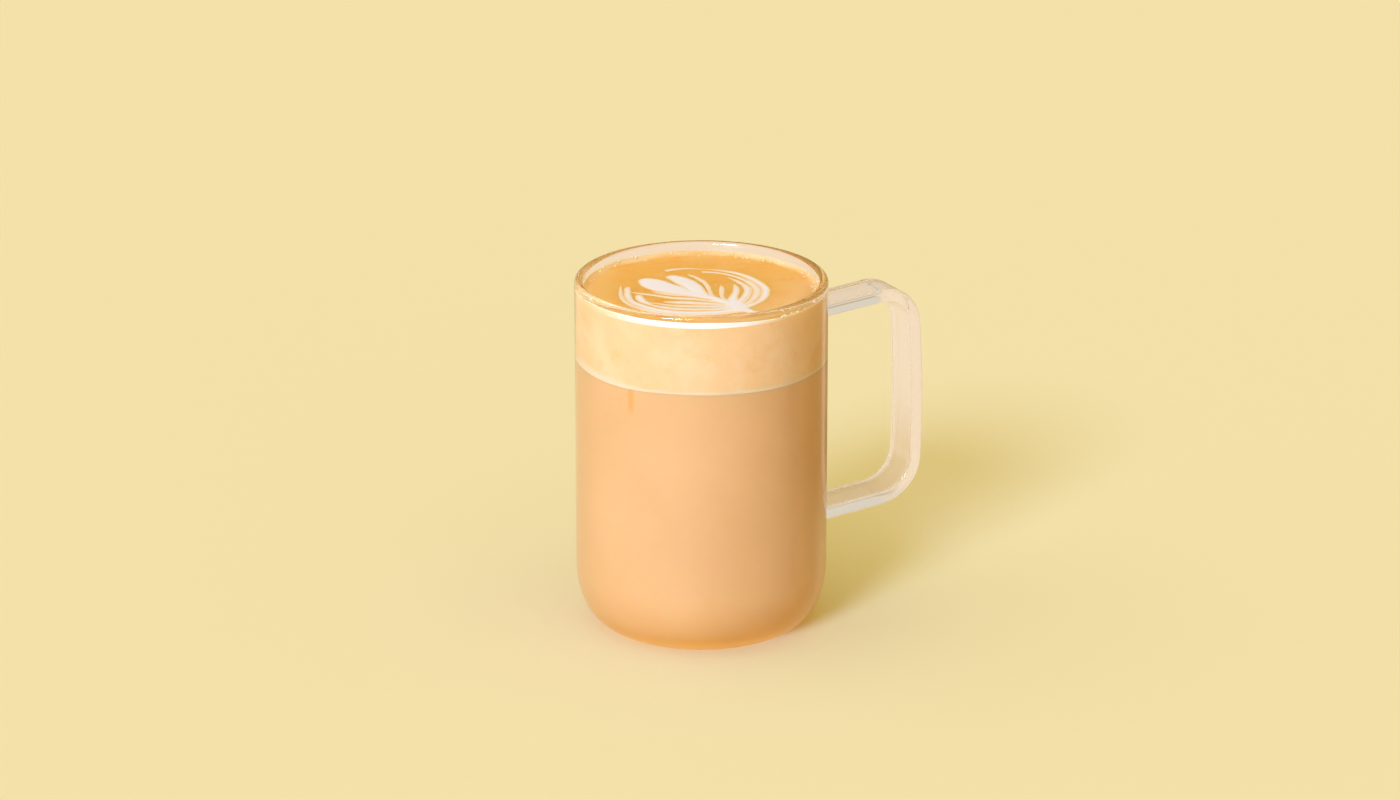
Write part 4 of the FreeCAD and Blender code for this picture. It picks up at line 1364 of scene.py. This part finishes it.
    def sideways(self, nodes: Nodes) -> Socket:
        """Measure how far a point or a direction lies towards the bright side."""
        return nodes.along(self.toward(self.bright_turn, self.bright_height))

    def lights_things(self, nodes: Nodes, path: bpy.types.ShaderNode) -> Socket:
        """Tell light that bounces off matt things, as 1, from what is looked at, as 0."""
        return nodes.math("MINIMUM", path.outputs["Diffuse Depth"], 1.0)

    def in_window(self, nodes: Nodes) -> Socket:
        """Tell directions inside the window that shows in the glass, as 1, from the rest."""
        middle = self.toward(self.window_turn, self.window_height)
        across = middle.cross(UP).normalized()
        inside = nodes.step(nodes.along(middle), *self.window_front)
        for direction, half in zip((across, across.cross(middle)), self.window_half):
            away = nodes.math("ABSOLUTE", nodes.along(direction))
            edge = nodes.step(away, half + self.window_edge, half)
            inside = nodes.math("MULTIPLY", inside, edge)
        return inside

    def make_sky(self) -> None:
        """Light the scene softly, brighter on the side of the key."""
        nodes = Nodes("studio", world=True)
        share = nodes.step(self.sideways(nodes), *self.sky_side)
        rise = nodes.along(UP)

        def light(colour: Colour | Socket) -> Socket:
            """Add a background of that colour."""
            return nodes.add("Background", Color=colour, Strength=1.0).outputs[0]

        sides = nodes.mix(share, self.far_sky, self.near_sky)
        above = nodes.mix(share, self.far_top, self.near_top)
        soft = light(nodes.mix(nodes.step(rise, *self.sky_rise), sides, above))
        shine = nodes.mix(share, self.far_shine, self.near_shine)
        shine = light(nodes.mix(self.in_window(nodes), shine, self.window))
        away = nodes.step(nodes.along(self.toward(math.pi, 0.0)), *self.room_away)
        room = nodes.math("MULTIPLY", nodes.step(rise, *self.room_rise), away)
        front = nodes.step(nodes.along(self.toward(0.0, 0.0)), *self.front_near)
        through = nodes.mix(room, self.glass_sees, self.glass_sees_room)
        through = nodes.mix(nodes.step(rise, *self.above_rise), through, self.glass_sees_above)
        through = nodes.mix(front, through, self.glass_sees_front)
        path = nodes.add("LightPath")
        seen = nodes.choose(path.outputs["Is Glossy Ray"], soft, shine)
        seen = nodes.choose(path.outputs["Is Transmission Ray"], seen, light(through))
        seen = nodes.choose(path.outputs["Is Camera Ray"], seen, light(self.seen_colour))
        bpy.context.scene.world = nodes.finish(
            nodes.choose(self.lights_things(nodes, path), seen, soft))

    def make_key(self) -> None:
        """Hang the key light to the front left."""
        lamp = bpy.data.lights.new("key", "SUN")
        lamp.energy = self.key
        lamp.angle = self.key_spread
        lamp.color = self.key_colour
        key = bpy.data.objects.new("key", lamp)
        key.rotation_euler = self.toward(self.key_turn, self.key_height).to_track_quat(
            "Z", "Y").to_euler()
        bpy.context.scene.collection.objects.link(key)

    def make_camera(self) -> None:
        """Stand the camera in front of the drinker's side, looking down."""
        data = bpy.data.cameras.new("camera")
        data.lens = self.lens
        data.sensor_width = self.sensor
        data.clip_end = self.camera_reach
        camera = bpy.data.objects.new("camera", data)
        camera.location = (self.camera_distance * math.sin(FRONT_TURN),
                           -self.camera_distance * math.cos(FRONT_TURN), self.camera_height)
        camera.rotation_euler = (math.pi / 2 - self.camera_pitch, 0.0,
                                 FRONT_TURN + self.camera_yaw)
        bpy.context.scene.collection.objects.link(camera)
        bpy.context.scene.camera = camera

    def build(self) -> None:
        """Make the floor, the light and the camera."""
        self.make_floor()
        self.make_sky()
        self.make_key()
        self.make_camera()
        scene = bpy.context.scene
        scene.view_settings.view_transform = "Standard"
        scene.cycles.max_bounces = self.light_bounces
        scene.cycles.glossy_bounces = self.light_bounces
        scene.cycles.transmission_bounces = self.light_bounces
        LOG.info("studio ready")


def write_sizes() -> None:
    """Update the view layer."""
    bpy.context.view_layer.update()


def main() -> None:
    """Build every piece in order."""
    logging.basicConfig(level=logging.INFO, format="%(name)s: %(message)s")
    Studio().build()
    Mug().build()
    drink = Drink()
    drink.build()
    Leaf(drink).build()
    write_sizes()


if __name__ == "__main__":
    main()
